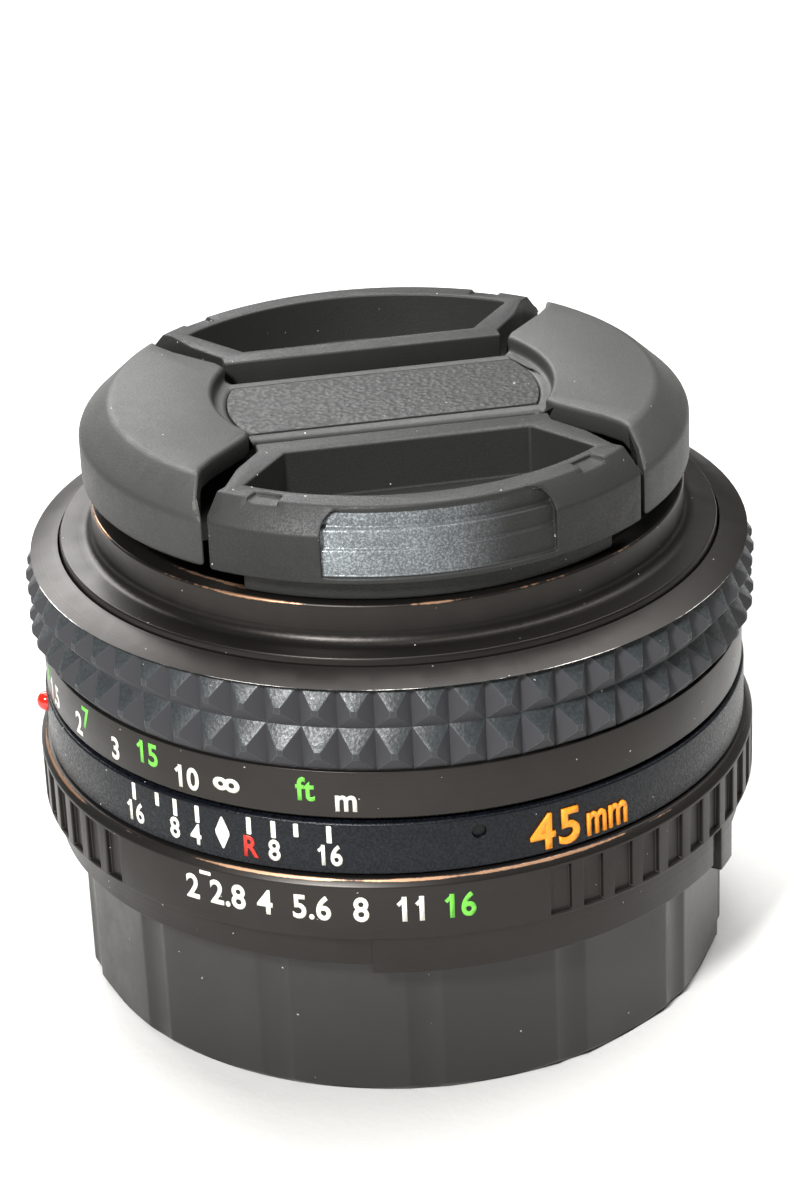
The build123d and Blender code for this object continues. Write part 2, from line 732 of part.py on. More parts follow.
with BuildPart() as rear_cell:
    rear_cell_radius = rim_6 + 3.0
    rear_cell_bottom = iris_z + glass["element_6"][3] - 0.3
    flange_bottom = iris_z - 1.0
    turn([
        (iris_open_radius - 0.4, front_4 + 0.1),
        (iris_open_radius - 0.4, iris_z),
        (block_radius, iris_z),
        (block_radius, flange_bottom),
        (rear_cell_radius, flange_bottom),
        (rear_cell_radius, rear_cell_bottom),
        (rim_6 + seat_gap, rear_cell_bottom),
        (rim_6 + seat_gap, rear_5),
        (rim_4 + seat_gap, rear_5),
        (rim_4 + seat_gap, front_4 + 0.1),
    ])
finish(rear_cell, "rear_cell")

with BuildPart() as rear_spacer:
    spacer_inner = rim_5 - 0.4
    spacer_head = face_height(iris_z + glass["element_5"][3], glass["element_5"][4], spacer_inner) - 0.05
    spacer_foot = face_height(iris_z + glass["element_6"][1], glass["element_6"][2], spacer_inner) + 0.05
    ring(spacer_inner, rim_6, spacer_foot, spacer_head)
finish(rear_spacer, "rear_spacer")

with BuildPart() as rear_retaining_ring:
    retainer_inner = rim_6 - 1.0
    retainer_head = face_height(iris_z + glass["element_6"][3], glass["element_6"][4], retainer_inner) - 0.05
    ring(retainer_inner, rim_6 + 0.03, rear_cell_bottom + 0.1, retainer_head)
finish(rear_retaining_ring, "rear_retaining_ring")

# ================= Iris =================

blade_rest = blade_swing * aperture_open / (aperture_open - aperture_closed)
ring_rest = lever_ratio * aperture_open
pin_reach = 2 * pivot_radius * sin(radians(drive_pin_bearing / 2))
pin_heading = radians(90 + drive_pin_bearing / 2)
pin_x = pin_reach * cos(pin_heading)
pin_y = pin_reach * sin(pin_heading)


def pin_in_ring(share):
    """Plan point of the first blade's drive pin, seen from the iris ring, at a share of the stroke."""
    swing = radians(blade_swing * share)
    along = Vector(pin_x * cos(swing) - pin_y * sin(swing), pin_x * sin(swing) + pin_y * cos(swing))
    ring_turn = lever_ratio * (aperture_open - aperture_closed) * share - ring_rest
    return (along + Vector(pivot_radius, 0)).rotate(Axis.Z, ring_turn)


with BuildPart() as iris_base_plate:
    ring(iris_open_radius - 0.4, block_radius - 0.9, iris_z, iris_z + base_plate_thickness)
    with Locations((0, 0, iris_z)):
        with PolarLocations(pivot_radius, blade_count):
            Cylinder(pin_radius + running_fit, 4, mode=Mode.SUBTRACT)
finish(iris_base_plate, "iris_base_plate")

with BuildPart() as iris_drive_ring:
    fork_outer = lever_radius + 1.1
    ring(iris_open_radius + 0.2, block_radius - 1.0, drive_ring_z, drive_ring_z + drive_ring_thickness)
    arc_band(block_radius - 1.4, fork_outer, 180 - 6.5, 180 + 6.5, drive_ring_z, drive_ring_z + drive_ring_thickness)
    arc_band(lever_radius - 0.6, fork_outer + 1, 180 - arm_half - 0.35, 180 + arm_half + 0.35,
             drive_ring_z, drive_ring_z + drive_ring_thickness, Mode.SUBTRACT)
    for blade in range(blade_count):
        with BuildSketch(Plane.XY.offset(drive_ring_z).rotated((0, 0, 360 / blade_count * blade))):
            with BuildLine(mode=Mode.PRIVATE) as pin_path:
                ThreePointArc(pin_in_ring(-0.02), pin_in_ring(0.5), pin_in_ring(1.02))
            SlotArc(pin_path.edges()[0], 2 * (pin_radius + sliding_fit))
        extrude(amount=drive_ring_thickness, mode=Mode.SUBTRACT)
finish(iris_drive_ring, "iris_drive_ring")

for blade in range(blade_count):
    level = blade_z + blade * blade_pitch
    heading = 360 / blade_count * blade
    turned = radians(heading + blade_rest)
    pivot = (pivot_radius * cos(radians(heading)), pivot_radius * sin(radians(heading)), level)
    blade_plane = Plane(origin=pivot, x_dir=(cos(turned), sin(turned), 0), z_dir=(0, 0, 1))
    with BuildPart() as iris_blade:
        with BuildSketch(blade_plane):
            with Locations((-pivot_radius, 0)):
                Circle(iris_outer_radius)
                Circle(iris_open_radius, mode=Mode.SUBTRACT)
                with BuildLine():
                    fan = [((2 * iris_outer_radius) * cos(radians(a)), (2 * iris_outer_radius) * sin(radians(a)))
                           for a in (blade_start, 40, 85, blade_end)]
                    corners = [(x - pivot_radius, y) for x, y in fan]
                    Polyline((-pivot_radius, 0), *corners, close=True)
            make_face(mode=Mode.INTERSECT)
            Circle(2.4 * pin_radius)
            with Locations((pin_x, pin_y)):
                Circle(2.4 * pin_radius)
        extrude(amount=blade_thickness)
        with BuildSketch(blade_plane):
            Circle(pin_radius)
        extrude(amount=-(level - iris_z - 0.1))
        with BuildSketch(blade_plane):
            with Locations((pin_x, pin_y)):
                Circle(pin_radius)
        extrude(amount=drive_ring_z + drive_ring_thickness - level)
    finish(iris_blade, "blade_" + str(blade + 1))

# ================= Rear cap =================

with BuildPart() as rear_cap:
    cup_radius = rear_cap_radius - rear_cap_wall
    rim_step_z = rear_cap_height - rear_cap_rim_depth
    turn([
        (0, 0),
        (rear_cap_radius - rear_cap_chamfer, 0),
        (rear_cap_radius, rear_cap_chamfer),
        (rear_cap_radius, rear_cap_height - rear_cap_edge),
        (rear_cap_radius - rear_cap_edge, rear_cap_height),
        (rim_bore, rear_cap_height),
        (rim_bore, rim_step_z),
        (cup_radius, rim_step_z - (cup_radius - rim_bore)),
        (cup_radius, rear_cap_floor),
        (0, rear_cap_floor),
    ])
    with BuildSketch(Plane.XY.rotated((0, 0, flute_bearing - 90))):
        RegularPolygon(rear_cap_radius - land_depth, flute_count, major_radius=False)
    extrude(amount=rear_cap_height, mode=Mode.INTERSECT)
    for lug in range(lug_count):
        start = lug_bearing + (lug + 0.5) * 360 / lug_count
        arc_band(throat_radius + 0.5, rim_bore + 0.2, start, start + lug_span,
                 lug_z + lug_thickness + 0.1, rear_cap_height - 0.2)
    flute_circle = rear_cap_radius + flute_radius - flute_depth
    with PolarLocations(flute_circle, flute_count, start_angle=flute_bearing - 90):
        Cylinder(flute_radius, 2 * rear_cap_height + 2, mode=Mode.SUBTRACT)
finish(rear_cap, "rear_cap")

# ================= Front cap =================
# In the cap's own plan, the front tab is on the -Y side; the plan is turned by cap_bearing.


def cap_plane(height):
    """Plane across the axis, turned with the front cap."""
    return Plane.XY.offset(height).rotated((0, 0, cap_bearing))


def slot_corners(side):
    """Half outline of the opening for a tab; side is -1 at the front and +1 at the rear."""
    corners = [
        (12.2 * cap_scale, bridge_half),
        (13.2 * cap_scale, bridge_half + 2.0 * cap_scale),
        (14.9 * cap_scale, bridge_half + 3.9 * cap_scale),
        (16.5 * cap_scale, bridge_half + 5.7 * cap_scale),
        (17.6 * cap_scale, bridge_half + 7.4 * cap_scale),
        (cap_slot_half, bridge_half + 9.9 * cap_scale),
        (cap_slot_half, cap_radius + 4),
    ]
    right = [(x, side * y) for x, y in corners]
    left = [(-x, side * y) for x, y in reversed(corners)]
    return right + left


with BuildPart() as cap_body:
    cap_inner = cap_radius - cap_wall
    turn([
        (0, cap_top_z - cap_top),
        (cap_inner - 1.5, cap_top_z - cap_top),
        (cap_inner, cap_shoulder_z),
        (cap_inner, cap_z),
        (cap_radius, cap_z),
        (cap_radius, cap_shoulder_z),
        (cap_top_radius, cap_top_z),
        (0, cap_top_z),
    ])
    bridge_z = cap_top_z - cap_top - 1.1
    with BuildSketch(cap_plane(bridge_z)):
        Rectangle(2 * (cap_inner - 2.5), 2 * bridge_half)
    extrude(amount=cap_top + 0.5)
    with BuildSketch(cap_plane(cap_top_z)):
        Circle(label_radius + label_margin)
        Rectangle(4 * label_radius, 2 * bridge_half + 2, mode=Mode.INTERSECT)
    extrude(amount=-(label_depth - label_thickness), mode=Mode.SUBTRACT)
    with BuildSketch(cap_plane(cap_top_z)):
        Circle(label_radius)
        Rectangle(4 * label_radius, 2 * label_half, mode=Mode.INTERSECT)
    extrude(amount=-label_depth, mode=Mode.SUBTRACT)
    for side in (-1, 1):
        with BuildSketch(cap_plane(cap_z - 1)):
            with BuildLine():
                Polyline(*slot_corners(side), close=True)
            make_face()
        extrude(amount=cap_top_z - cap_z + 2, mode=Mode.SUBTRACT)
    back_plate_z = cap_z + 0.1
    post_circle = cap_inner - 2.6
    for bearing in post_bearings:
        with Locations(cap_plane(back_plate_z)):
            with Locations(polar(post_circle, bearing)):
                Cylinder(post_radius, cap_top_z - cap_top - back_plate_z + 0.5,
                         align=(Align.CENTER, Align.CENTER, Align.MIN))
finish(cap_body, "cap_body")

with BuildPart() as cap_label:
    with BuildSketch(cap_plane(cap_top_z - label_depth)):
        Circle(label_radius)
        Rectangle(4 * label_radius, 2 * label_half, mode=Mode.INTERSECT)
    extrude(amount=label_thickness)
finish(cap_label, "cap_label")

tab_bore = cap_inner - tab_wall_gap
plate_half = sqrt(tab_bore**2 - cap_slot_half**2) - tab_travel - 0.2

with BuildPart() as cap_back_plate:
    with BuildSketch(cap_plane(back_plate_z)):
        Circle(cap_inner - 0.1)
        Rectangle(2 * cap_radius, 2 * plate_half, mode=Mode.INTERSECT)
        for bearing in post_bearings:
            with Locations(polar(post_circle, bearing)):
                Circle(post_radius + 0.02, mode=Mode.SUBTRACT)
    extrude(amount=back_plate_thickness)
finish(cap_back_plate, "cap_back_plate")

tab_top_z = cap_top_z - tab_drop
tray_z = back_plate_z + back_plate_thickness + 0.1


def make_tab(side, name):
    """A sprung cap tab: a finger tray, an outer wall with a grip, a lip and a tooth."""
    well_floor = tray_z + tab_floor
    outline = [
        (12.5 * cap_scale, side * tab_back),
        (12.5 * cap_scale, side * (tab_back + 1.4 * cap_scale)),
        (14.8 * cap_scale, side * (tab_back + 4.7 * cap_scale)),
        (16.2 * cap_scale, side * (tab_back + 7.9 * cap_scale)),
        (cap_slot_half - cap_slit, side * (tab_back + 9.5 * cap_scale)),
        (cap_slot_half - cap_slit, side * (cap_radius + 3)),
    ]
    mirrored = [(-x, y) for x, y in reversed(outline)]
    with BuildPart() as tab:
        turn([
            (0, tray_z),
            (tab_bore, tray_z),
            (tab_bore, cap_z),
            (cap_radius, cap_z),
            (cap_radius, cap_shoulder_z),
            (cap_radius - tab_slope, tab_top_z),
            (0, tab_top_z),
        ])
        with BuildSketch(cap_plane(cap_z - 1)):
            with BuildLine():
                Polyline(*outline, *mirrored, close=True)
            make_face()
        extrude(amount=cap_top_z - cap_z + 2, mode=Mode.INTERSECT)
        well = [
            (10.4 * cap_scale, side * (tab_back + tab_rim + 0.4)),
            (12.5 * cap_scale, side * (tab_back + 5.2 * cap_scale)),
            (14.7 * cap_scale, side * (tab_back + 8.1 * cap_scale)),
            (14.7 * cap_scale, side * cap_radius),
        ]
        with BuildSketch(cap_plane(well_floor)):
            with BuildLine():
                Polyline(*well, *[(-x, y) for x, y in reversed(well)], close=True)
            make_face()
            Circle(cap_radius - tab_slope - tab_rim, mode=Mode.INTERSECT)
        extrude(amount=tab_top_z - well_floor + 1, mode=Mode.SUBTRACT)
        middle = cap_bearing if side < 0 else cap_bearing + 180
        grip_height = grip_band_height * sum(share for share, inset in grip_bands)
        grip_width = 2 * cap_radius * sin(radians(grip_half_angle))
        with BuildPart(mode=Mode.PRIVATE) as grip:
            grip_z = cap_z + grip_margin
            for share, inset in grip_bands:
                grip_top = grip_z + share * grip_band_height
                arc_band(cap_radius - grip_depth - inset, cap_radius + 1, middle - grip_half_angle - 5,
                         middle + grip_half_angle + 5, grip_z, grip_top)
                grip_z = grip_top
            with BuildSketch(bearing_plane(cap_radius / 2, middle, grip_top - grip_height)):
                RectangleRounded(grip_width, 2 * grip_height, grip_corner)
            extrude(amount=cap_radius, mode=Mode.INTERSECT)
        add(grip.part, mode=Mode.SUBTRACT)
        for turned in (-1, 1):
            near = middle + turned * dip_bearings[0]
            far = middle + turned * dip_bearings[1]
            arc_band(cap_radius - tab_slope - 0.6 * tab_rim, cap_radius + 1, min(near, far), max(near, far),
                     tab_top_z - dip_depth, tab_top_z + 1, Mode.SUBTRACT)
        lip_z = cap_z - tab_lip_height
        lip_inner = cap_inner - 1.9
        lip_first = middle - lip_half_angle
        lip_last = middle + lip_half_angle
        arc_band(lip_inner, cap_radius - lip_inset, lip_first, lip_last, lip_z, cap_z)
        arc_band(lip_inner, cap_inner, lip_first, lip_last, cap_z, tray_z + 0.3)
        arc_band(lip_inner, thread_crest - 0.3, middle - tooth_half_angle, middle + tooth_half_angle,
                 lip_z - tooth_height, lip_z)
    finish(tab, name)


make_tab(-1, "cap_tab_front")
make_tab(1, "cap_tab_rear")

with BuildPart() as cap_springs:
    spring_length = 2 * tab_back - 0.1
    spring_turns = spring_length / cap_spring_pitch
    spring_z = bridge_z - 0.1 - cap_spring_radius
    coil_radius = cap_spring_radius - cap_spring_wire
    for offset in (-cap_spring_offset, cap_spring_offset):
        start = cap_plane(spring_z).from_local_coords(Vector(offset, -spring_length / 2 + cap_spring_wire, 0))
        along = cap_plane(0).from_local_coords(Vector(0, 1, 0))
        with BuildLine(mode=Mode.PRIVATE) as coil:
            Helix(cap_spring_pitch, spring_length - 2 * cap_spring_wire, coil_radius, center=start, direction=along)
        with BuildSketch(Plane(origin=coil.line @ 0, z_dir=coil.line % 0)):
            Circle(cap_spring_wire)
        sweep(path=coil.line, is_frenet=True)
finish(cap_springs, "cap_springs")
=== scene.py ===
"""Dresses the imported 45 mm prime lens: softened mouldings, rubber grip, scales, finishes and studio."""

import json
import math

import bpy
from bpy.props import FloatProperty, FloatVectorProperty, IntProperty, PointerProperty
from mathutils import Euler, Matrix, Vector


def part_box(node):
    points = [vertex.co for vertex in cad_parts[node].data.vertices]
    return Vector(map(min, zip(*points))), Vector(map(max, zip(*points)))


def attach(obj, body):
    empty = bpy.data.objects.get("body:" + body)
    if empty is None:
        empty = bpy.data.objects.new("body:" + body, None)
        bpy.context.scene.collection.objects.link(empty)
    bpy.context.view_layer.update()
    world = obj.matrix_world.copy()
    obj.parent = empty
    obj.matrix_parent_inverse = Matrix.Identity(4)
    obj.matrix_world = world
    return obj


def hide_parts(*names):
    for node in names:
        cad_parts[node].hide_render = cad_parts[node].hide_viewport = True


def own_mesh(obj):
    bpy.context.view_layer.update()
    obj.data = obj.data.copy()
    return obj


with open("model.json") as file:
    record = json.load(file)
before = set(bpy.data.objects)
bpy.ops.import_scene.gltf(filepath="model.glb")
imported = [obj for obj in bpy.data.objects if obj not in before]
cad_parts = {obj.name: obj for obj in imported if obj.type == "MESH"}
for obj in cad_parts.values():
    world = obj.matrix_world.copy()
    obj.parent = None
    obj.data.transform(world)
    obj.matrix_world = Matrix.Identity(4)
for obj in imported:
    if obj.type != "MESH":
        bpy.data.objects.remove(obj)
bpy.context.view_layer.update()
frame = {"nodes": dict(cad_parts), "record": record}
nodes = frame["nodes"]
body_of_node = {
    node: body
    for body, members in frame["record"]["behaviour"]["bodies"].items()
    for node in members
}
slot_of_node = {part["node"]: part["material_slot"] for part in frame["record"]["subparts"]}

bl_info = {
    "name": "Prime Lens Dressing",
    "version": (1, 0, 0),
    "blender": (4, 5, 0),
    "location": "View3D > Sidebar > Prime Lens",
    "description": "Builds the grip, scales, softened mouldings and finishes of a 45 mm prime lens",
    "category": "Object",
}

MM = 0.001
MERGED = 0.002 * MM  # points nearer than this are one point
JOINED = 0.001 * MM  # the same, for pieces put together edge to edge
STRIP = 0.4 * MM  # width of the strips that a flat figure is cut into before it is bent
FIGURE_LIFT = 0.02 * MM  # how far the printed figures of the depth scale stand out
RAISED = 0.2 * MM  # how far the moulded focal length stands out
TAB_TURN = math.radians(37.8)  # bearing of the front tab's middle
FEET_MOVED = {"5": -5.6, "2.5": -1.8, "2": 3.4}  # degrees, to clear the metre figure beside it
GRIP_START = 30.55  # bearing at which the first pyramid starts
BAND_UNDERCUT = 0.02 * MM  # thickness of the band behind the pyramids
ONE_WIDTH = 0.16  # stroke of the figure 1, as a share of its height


# ---- Where the CAD says things are ----

def outer_radius(node):
    """Largest distance of a node from the optical axis."""
    low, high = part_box(node)
    return max(high.x, high.y, -low.x, -low.y)


def on_ring(radius, bearing, height):
    """Point at a radius, at a bearing in degrees from -Y towards +X, and at a height."""
    turn = math.radians(bearing)
    return Vector((radius * math.sin(turn), -radius * math.cos(turn), height))


APERTURE_RADIUS = outer_radius("aperture_ring")
SCALE_RADIUS = outer_radius("scale_ring")
BAND_RADIUS = APERTURE_RADIUS - 1.0 * MM
GRIP_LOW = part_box("rubber_grip")[0].z
GRIP_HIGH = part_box("rubber_grip")[1].z
APERTURE_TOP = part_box("aperture_ring")[1].z
SCALE_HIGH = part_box("scale_ring")[1].z
FOCUS_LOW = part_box("focus_ring")[0].z
RIM_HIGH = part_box("filter_ring")[1].z


# ---- What a user may change ----

class GripSizes(bpy.types.PropertyGroup):
    rows: IntProperty(name="Rows", description="Rows of pyramids on the rubber", default=2, min=1)
    around: IntProperty(name="Around", description="Pyramids in a row", default=64, min=8)
    top_width: FloatProperty(name="Top Width", description="Width of a pyramid's flat top", default=0.5 * MM,
                             unit="LENGTH", precision=5)
    top_height: FloatProperty(name="Top Height", description="Height of a pyramid's flat top",
                              default=0.55 * MM, unit="LENGTH", precision=5)
    depth: FloatProperty(name="Depth", description="How far a pyramid stands out", default=1.38 * MM,
                         unit="LENGTH", precision=5)
    edge: FloatProperty(name="Edge", description="Rounding of a pyramid's edges", default=0.045 * MM,
                        unit="LENGTH", precision=5)


class EdgeSizes(bpy.types.PropertyGroup):
    cap_body: FloatProperty(name="Front Cap", description="Rounding of the front cap's edges",
                            default=0.42 * MM, unit="LENGTH", precision=5)
    cap_tab: FloatProperty(name="Tabs", description="Rounding of the two tabs' edges", default=0.2 * MM,
                           unit="LENGTH", precision=5)
    rear_cap: FloatProperty(name="Rear Cap", description="Rounding of the rear cap's edges", default=0.2 * MM,
                            unit="LENGTH", precision=5)
    ring: FloatProperty(name="Rings", description="Rounding of the metal rings' edges", default=0.07 * MM,
                        unit="LENGTH", precision=5)


class ScaleSizes(bpy.types.PropertyGroup):
    stop_height: FloatProperty(name="Stop Height", description="Height of the aperture numbers",
                               default=2.35 * MM, unit="LENGTH", precision=5)
    distance_height: FloatProperty(name="Distance Height", description="Height of the distance numbers",
                                   default=2.15 * MM, unit="LENGTH", precision=5)
    depth_height: FloatProperty(name="Depth Height", description="Height of the depth-of-field numbers",
                                default=2.0 * MM, unit="LENGTH", precision=5)
    focal_height: FloatProperty(name="Focal Height", description="Height of the raised focal length",
                                default=3.3 * MM, unit="LENGTH", precision=5)
    engraving: FloatProperty(name="Paint Step", description="How far the paint stands out of the engraving",
                             default=0.008 * MM, unit="LENGTH", precision=6)


class FinishColours(bpy.types.PropertyGroup):
    cap_plastic: FloatVectorProperty(name="Cap Plastic", description="Front cap's moulded plastic",
                                     default=(0.034, 0.0345, 0.0325), subtype="COLOR", min=0, max=1)
    rear_plastic: FloatVectorProperty(name="Rear Cap Plastic", description="Rear cap's moulded plastic",
                                      default=(0.0165, 0.015, 0.0135), subtype="COLOR", min=0, max=1)
    rubber: FloatVectorProperty(name="Rubber", description="Focus grip rubber",
                                default=(0.0055, 0.0064, 0.0068), subtype="COLOR", min=0, max=1)
    anodised: FloatVectorProperty(name="Anodised", description="Black anodised rings",
                                  default=(0.021, 0.0188, 0.017), subtype="COLOR", min=0, max=1)
    gloss: FloatVectorProperty(name="Gloss Ring", description="Gloss lacquer of the depth-of-field ring",
                               default=(0.009, 0.011, 0.016), subtype="COLOR", min=0, max=1)
    white: FloatVectorProperty(name="White Paint", description="Metre scale and stops",
                               default=(0.86, 0.85, 0.75), subtype="COLOR", min=0, max=1)
    green: FloatVectorProperty(name="Green Paint", description="Feet scale and the smallest stop",
                               default=(0.16, 0.62, 0.06), subtype="COLOR", min=0, max=1)
    orange: FloatVectorProperty(name="Orange Paint", description="Raised focal length",
                                default=(1.0, 0.33, 0.01), subtype="COLOR", min=0, max=1)
    red: FloatVectorProperty(name="Red Paint", description="Infrared mark",
                             default=(0.75, 0.03, 0.015), subtype="COLOR", min=0, max=1)


# ---- Node groups for the effects that several finishes share ----

def start_group(name, inputs, outputs):
    """A shader node group with its named sockets and its two end nodes."""
    tree = bpy.data.node_groups.new(name, "ShaderNodeTree")
    for label, default in inputs:
        socket = tree.interface.new_socket(label, in_out="INPUT", socket_type="NodeSocketFloat")
        socket.default_value = default
    for label in outputs:
        tree.interface.new_socket(label, in_out="OUTPUT", socket_type="NodeSocketFloat")
    return tree, tree.nodes.new("NodeGroupInput"), tree.nodes.new("NodeGroupOutput")


def plug(tree, value, socket):
    """Link a socket, or set a plain number."""
    if isinstance(value, bpy.types.NodeSocket):
        tree.links.new(value, socket)
    else:
        socket.default_value = value


def sums(tree, operation, first, second=0.0, clamp=False):
    """One Math node's result."""
    node = tree.nodes.new("ShaderNodeMath")
    node.operation = operation
    node.use_clamp = clamp
    plug(tree, first, node.inputs[0])
    plug(tree, second, node.inputs[1])
    return node.outputs[0]


def spread(tree, value, low, high, to_low, to_high):
    """Map a value from one range to another, smoothly and clamped."""
    node = tree.nodes.new("ShaderNodeMapRange")
    node.interpolation_type = "SMOOTHSTEP"
    for number, entry in enumerate((value, low, high, to_low, to_high)):
        plug(tree, entry, node.inputs[number])
    return node.outputs[0]


def noise(tree, vector, scale, detail=3.0, roughness=0.5):
    """Factor of a noise texture on a vector."""
    node = tree.nodes.new("ShaderNodeTexNoise")
    plug(tree, vector, node.inputs["Vector"])
    plug(tree, scale, node.inputs["Scale"])
    node.inputs["Detail"].default_value = detail
    node.inputs["Roughness"].default_value = roughness
    return node.outputs["Fac"]


def object_place(tree):
    """Object coordinates."""
    return tree.nodes.new("ShaderNodeTexCoord").outputs["Object"]


def ring_place(tree):
    """Distance from the optical axis, and height."""
    parts = tree.nodes.new("ShaderNodeSeparateXYZ")
    tree.links.new(object_place(tree), parts.inputs[0])
    square = sums(tree, "ADD", sums(tree, "MULTIPLY", parts.outputs["X"], parts.outputs["X"]),
                  sums(tree, "MULTIPLY", parts.outputs["Y"], parts.outputs["Y"]))
    return sums(tree, "SQRT", square), parts.outputs["Z"]


def build_grain():
    """Fine moulded or sprayed grain."""
    tree, entry, leave = start_group("Fine Grain", [("Scale", 4000.0)], ["Height", "Tone"])
    fine = noise(tree, object_place(tree), entry.outputs["Scale"], 4.0, 0.6)
    plug(tree, fine, leave.inputs["Height"])
    plug(tree, spread(tree, fine, 0.35, 0.68, 0.0, 1.0), leave.inputs["Tone"])
    return tree


def build_turned():
    """Concentric tool marks of a turned ring."""
    tree, entry, leave = start_group("Turned Finish", [("Scale", 9000.0)], ["Height", "Tone"])
    radius, height = ring_place(tree)
    section = tree.nodes.new("ShaderNodeCombineXYZ")
    plug(tree, radius, section.inputs["X"])
    plug(tree, height, section.inputs["Y"])
    lines = noise(tree, section.outputs[0], entry.outputs["Scale"], 2.0, 0.6)
    plug(tree, lines, leave.inputs["Height"])
    plug(tree, spread(tree, lines, 0.3, 0.7, 0.0, 1.0), leave.inputs["Tone"])
    return tree


def build_ring_wear():
    """Rubbed metal along the circular edge at a radius and a height; on the focus ring the pale line is partly
    a painted highlight.
    """
    tree, entry, leave = start_group(
        "Ring Edge Wear", [("Radius", 0.03), ("Height", 0.04), ("Width", 0.0003), ("Share", 0.5)], ["Mask"])
    radius, height = ring_place(tree)
    across = sums(tree, "SUBTRACT", radius, entry.outputs["Radius"])
    along = sums(tree, "SUBTRACT", height, entry.outputs["Height"])
    away = sums(tree, "SQRT", sums(tree, "ADD", sums(tree, "MULTIPLY", across, across),
                                   sums(tree, "MULTIPLY", along, along)))
    near = sums(tree, "SUBTRACT", 1.0, sums(tree, "DIVIDE", away, entry.outputs["Width"]), clamp=True)
    place = object_place(tree)
    broad = spread(tree, noise(tree, place, 75.0, 2.0), 0.4, 0.62, 0.0, 1.0)
    fine = noise(tree, place, 1500.0, 4.0, 0.7)
    patches = sums(tree, "ADD", sums(tree, "MULTIPLY", broad, 0.5), sums(tree, "MULTIPLY", fine, 0.6))
    wear_and_sheen = sums(tree, "MULTIPLY", near, sums(tree, "ADD", patches, entry.outputs["Share"]))
    plug(tree, spread(tree, wear_and_sheen, 0.42, 0.62, 0.0, 1.0), leave.inputs["Mask"])
    return tree


def build_dust():
    """Scattered specks of dust."""
    tree, entry, leave = start_group(
        "Dust Specks", [("Scale", 600.0), ("Share", 0.05), ("Size", 0.12)], ["Mask"])
    cells = tree.nodes.new("ShaderNodeTexVoronoi")
    place = object_place(tree)
    wobble = tree.nodes.new("ShaderNodeVectorMath")
    wobble.operation = "MULTIPLY_ADD"
    shift = tree.nodes.new("ShaderNodeTexNoise")
    plug(tree, place, shift.inputs["Vector"])
    shift.inputs["Scale"].default_value = 3500.0
    plug(tree, shift.outputs["Color"], wobble.inputs[0])
    wobble.inputs[1].default_value = (0.0003, 0.0003, 0.0003)
    plug(tree, place, wobble.inputs[2])
    plug(tree, wobble.outputs[0], cells.inputs["Vector"])
    plug(tree, entry.outputs["Scale"], cells.inputs["Scale"])
    draw = tree.nodes.new("ShaderNodeSeparateColor")
    plug(tree, cells.outputs["Color"], draw.inputs[0])
    chosen = sums(tree, "LESS_THAN", draw.outputs["Red"], entry.outputs["Share"])
    reach = sums(tree, "MULTIPLY", entry.outputs["Size"], sums(tree, "ADD", draw.outputs["Green"], 0.5))
    inside = sums(tree, "LESS_THAN", cells.outputs["Distance"], reach)
    plug(tree, sums(tree, "MULTIPLY", chosen, inside), leave.inputs["Mask"])
    return tree


def build_recess_sheen():
    """Painted sheen in a tab's finger recess: a lighter, sparkling patch, painted brightest at one end."""
    tree, entry, leave = start_group(
        "Polished Recess", [("Radius", 0.026), ("Low", 0.047), ("High", 0.0517), ("Reach", 0.0096)], ["Mask"])
    radius, height = ring_place(tree)
    within = sums(tree, "MULTIPLY", sums(tree, "LESS_THAN", radius, entry.outputs["Radius"]),
                  sums(tree, "GREATER_THAN", radius, sums(tree, "SUBTRACT", entry.outputs["Radius"], 0.0022)))
    between = sums(tree, "MULTIPLY", sums(tree, "GREATER_THAN", height, entry.outputs["Low"]),
                   sums(tree, "LESS_THAN", height, entry.outputs["High"]))
    place = object_place(tree)
    ends = tree.nodes.new("ShaderNodeSeparateXYZ")
    plug(tree, place, ends.inputs[0])
    across = sums(tree, "ADD", sums(tree, "MULTIPLY", ends.outputs["X"], math.cos(TAB_TURN)),
                  sums(tree, "MULTIPLY", ends.outputs["Y"], math.sin(TAB_TURN)))
    corner_start = sums(tree, "SUBTRACT", entry.outputs["High"], 0.0013)
    corner = sums(tree, "MAXIMUM", sums(tree, "SUBTRACT", height, corner_start), 0.0)
    sideways = sums(tree, "ADD", sums(tree, "ABSOLUTE", across), corner)
    between = sums(tree, "MULTIPLY", between, sums(tree, "LESS_THAN", sideways, entry.outputs["Reach"]))
    sparkle = spread(tree, noise(tree, place, 5200.0, 3.0, 0.8), 0.42, 0.72, 0.25, 1.0)
    # Painted sheen: brightest at one end of the recess, fading towards the other
    wear_and_sheen = spread(tree, across, -0.006, 0.0065, 1.0, 0.0)
    patchy = spread(tree, noise(tree, place, 160.0, 2.0), 0.3, 0.6, 0.6, 1.0)
    broad = sums(tree, "MULTIPLY", wear_and_sheen, patchy)
    plug(tree, sums(tree, "MULTIPLY", sums(tree, "MULTIPLY", within, between),
                    sums(tree, "MULTIPLY", sparkle, broad)), leave.inputs["Mask"])
    return tree


def build_smudges():
    """Broad handling marks."""
    tree, entry, leave = start_group("Handling Marks", [("Scale", 60.0)], ["Tone"])
    place = object_place(tree)
    broad = noise(tree, place, entry.outputs["Scale"], 4.0, 0.55)
    fine = noise(tree, place, sums(tree, "MULTIPLY", entry.outputs["Scale"], 9.0), 3.0, 0.6)
    both = sums(tree, "ADD", sums(tree, "MULTIPLY", broad, 0.7), sums(tree, "MULTIPLY", fine, 0.3))
    plug(tree, spread(tree, both, 0.36, 0.64, 0.0, 1.0), leave.inputs["Tone"])
    return tree


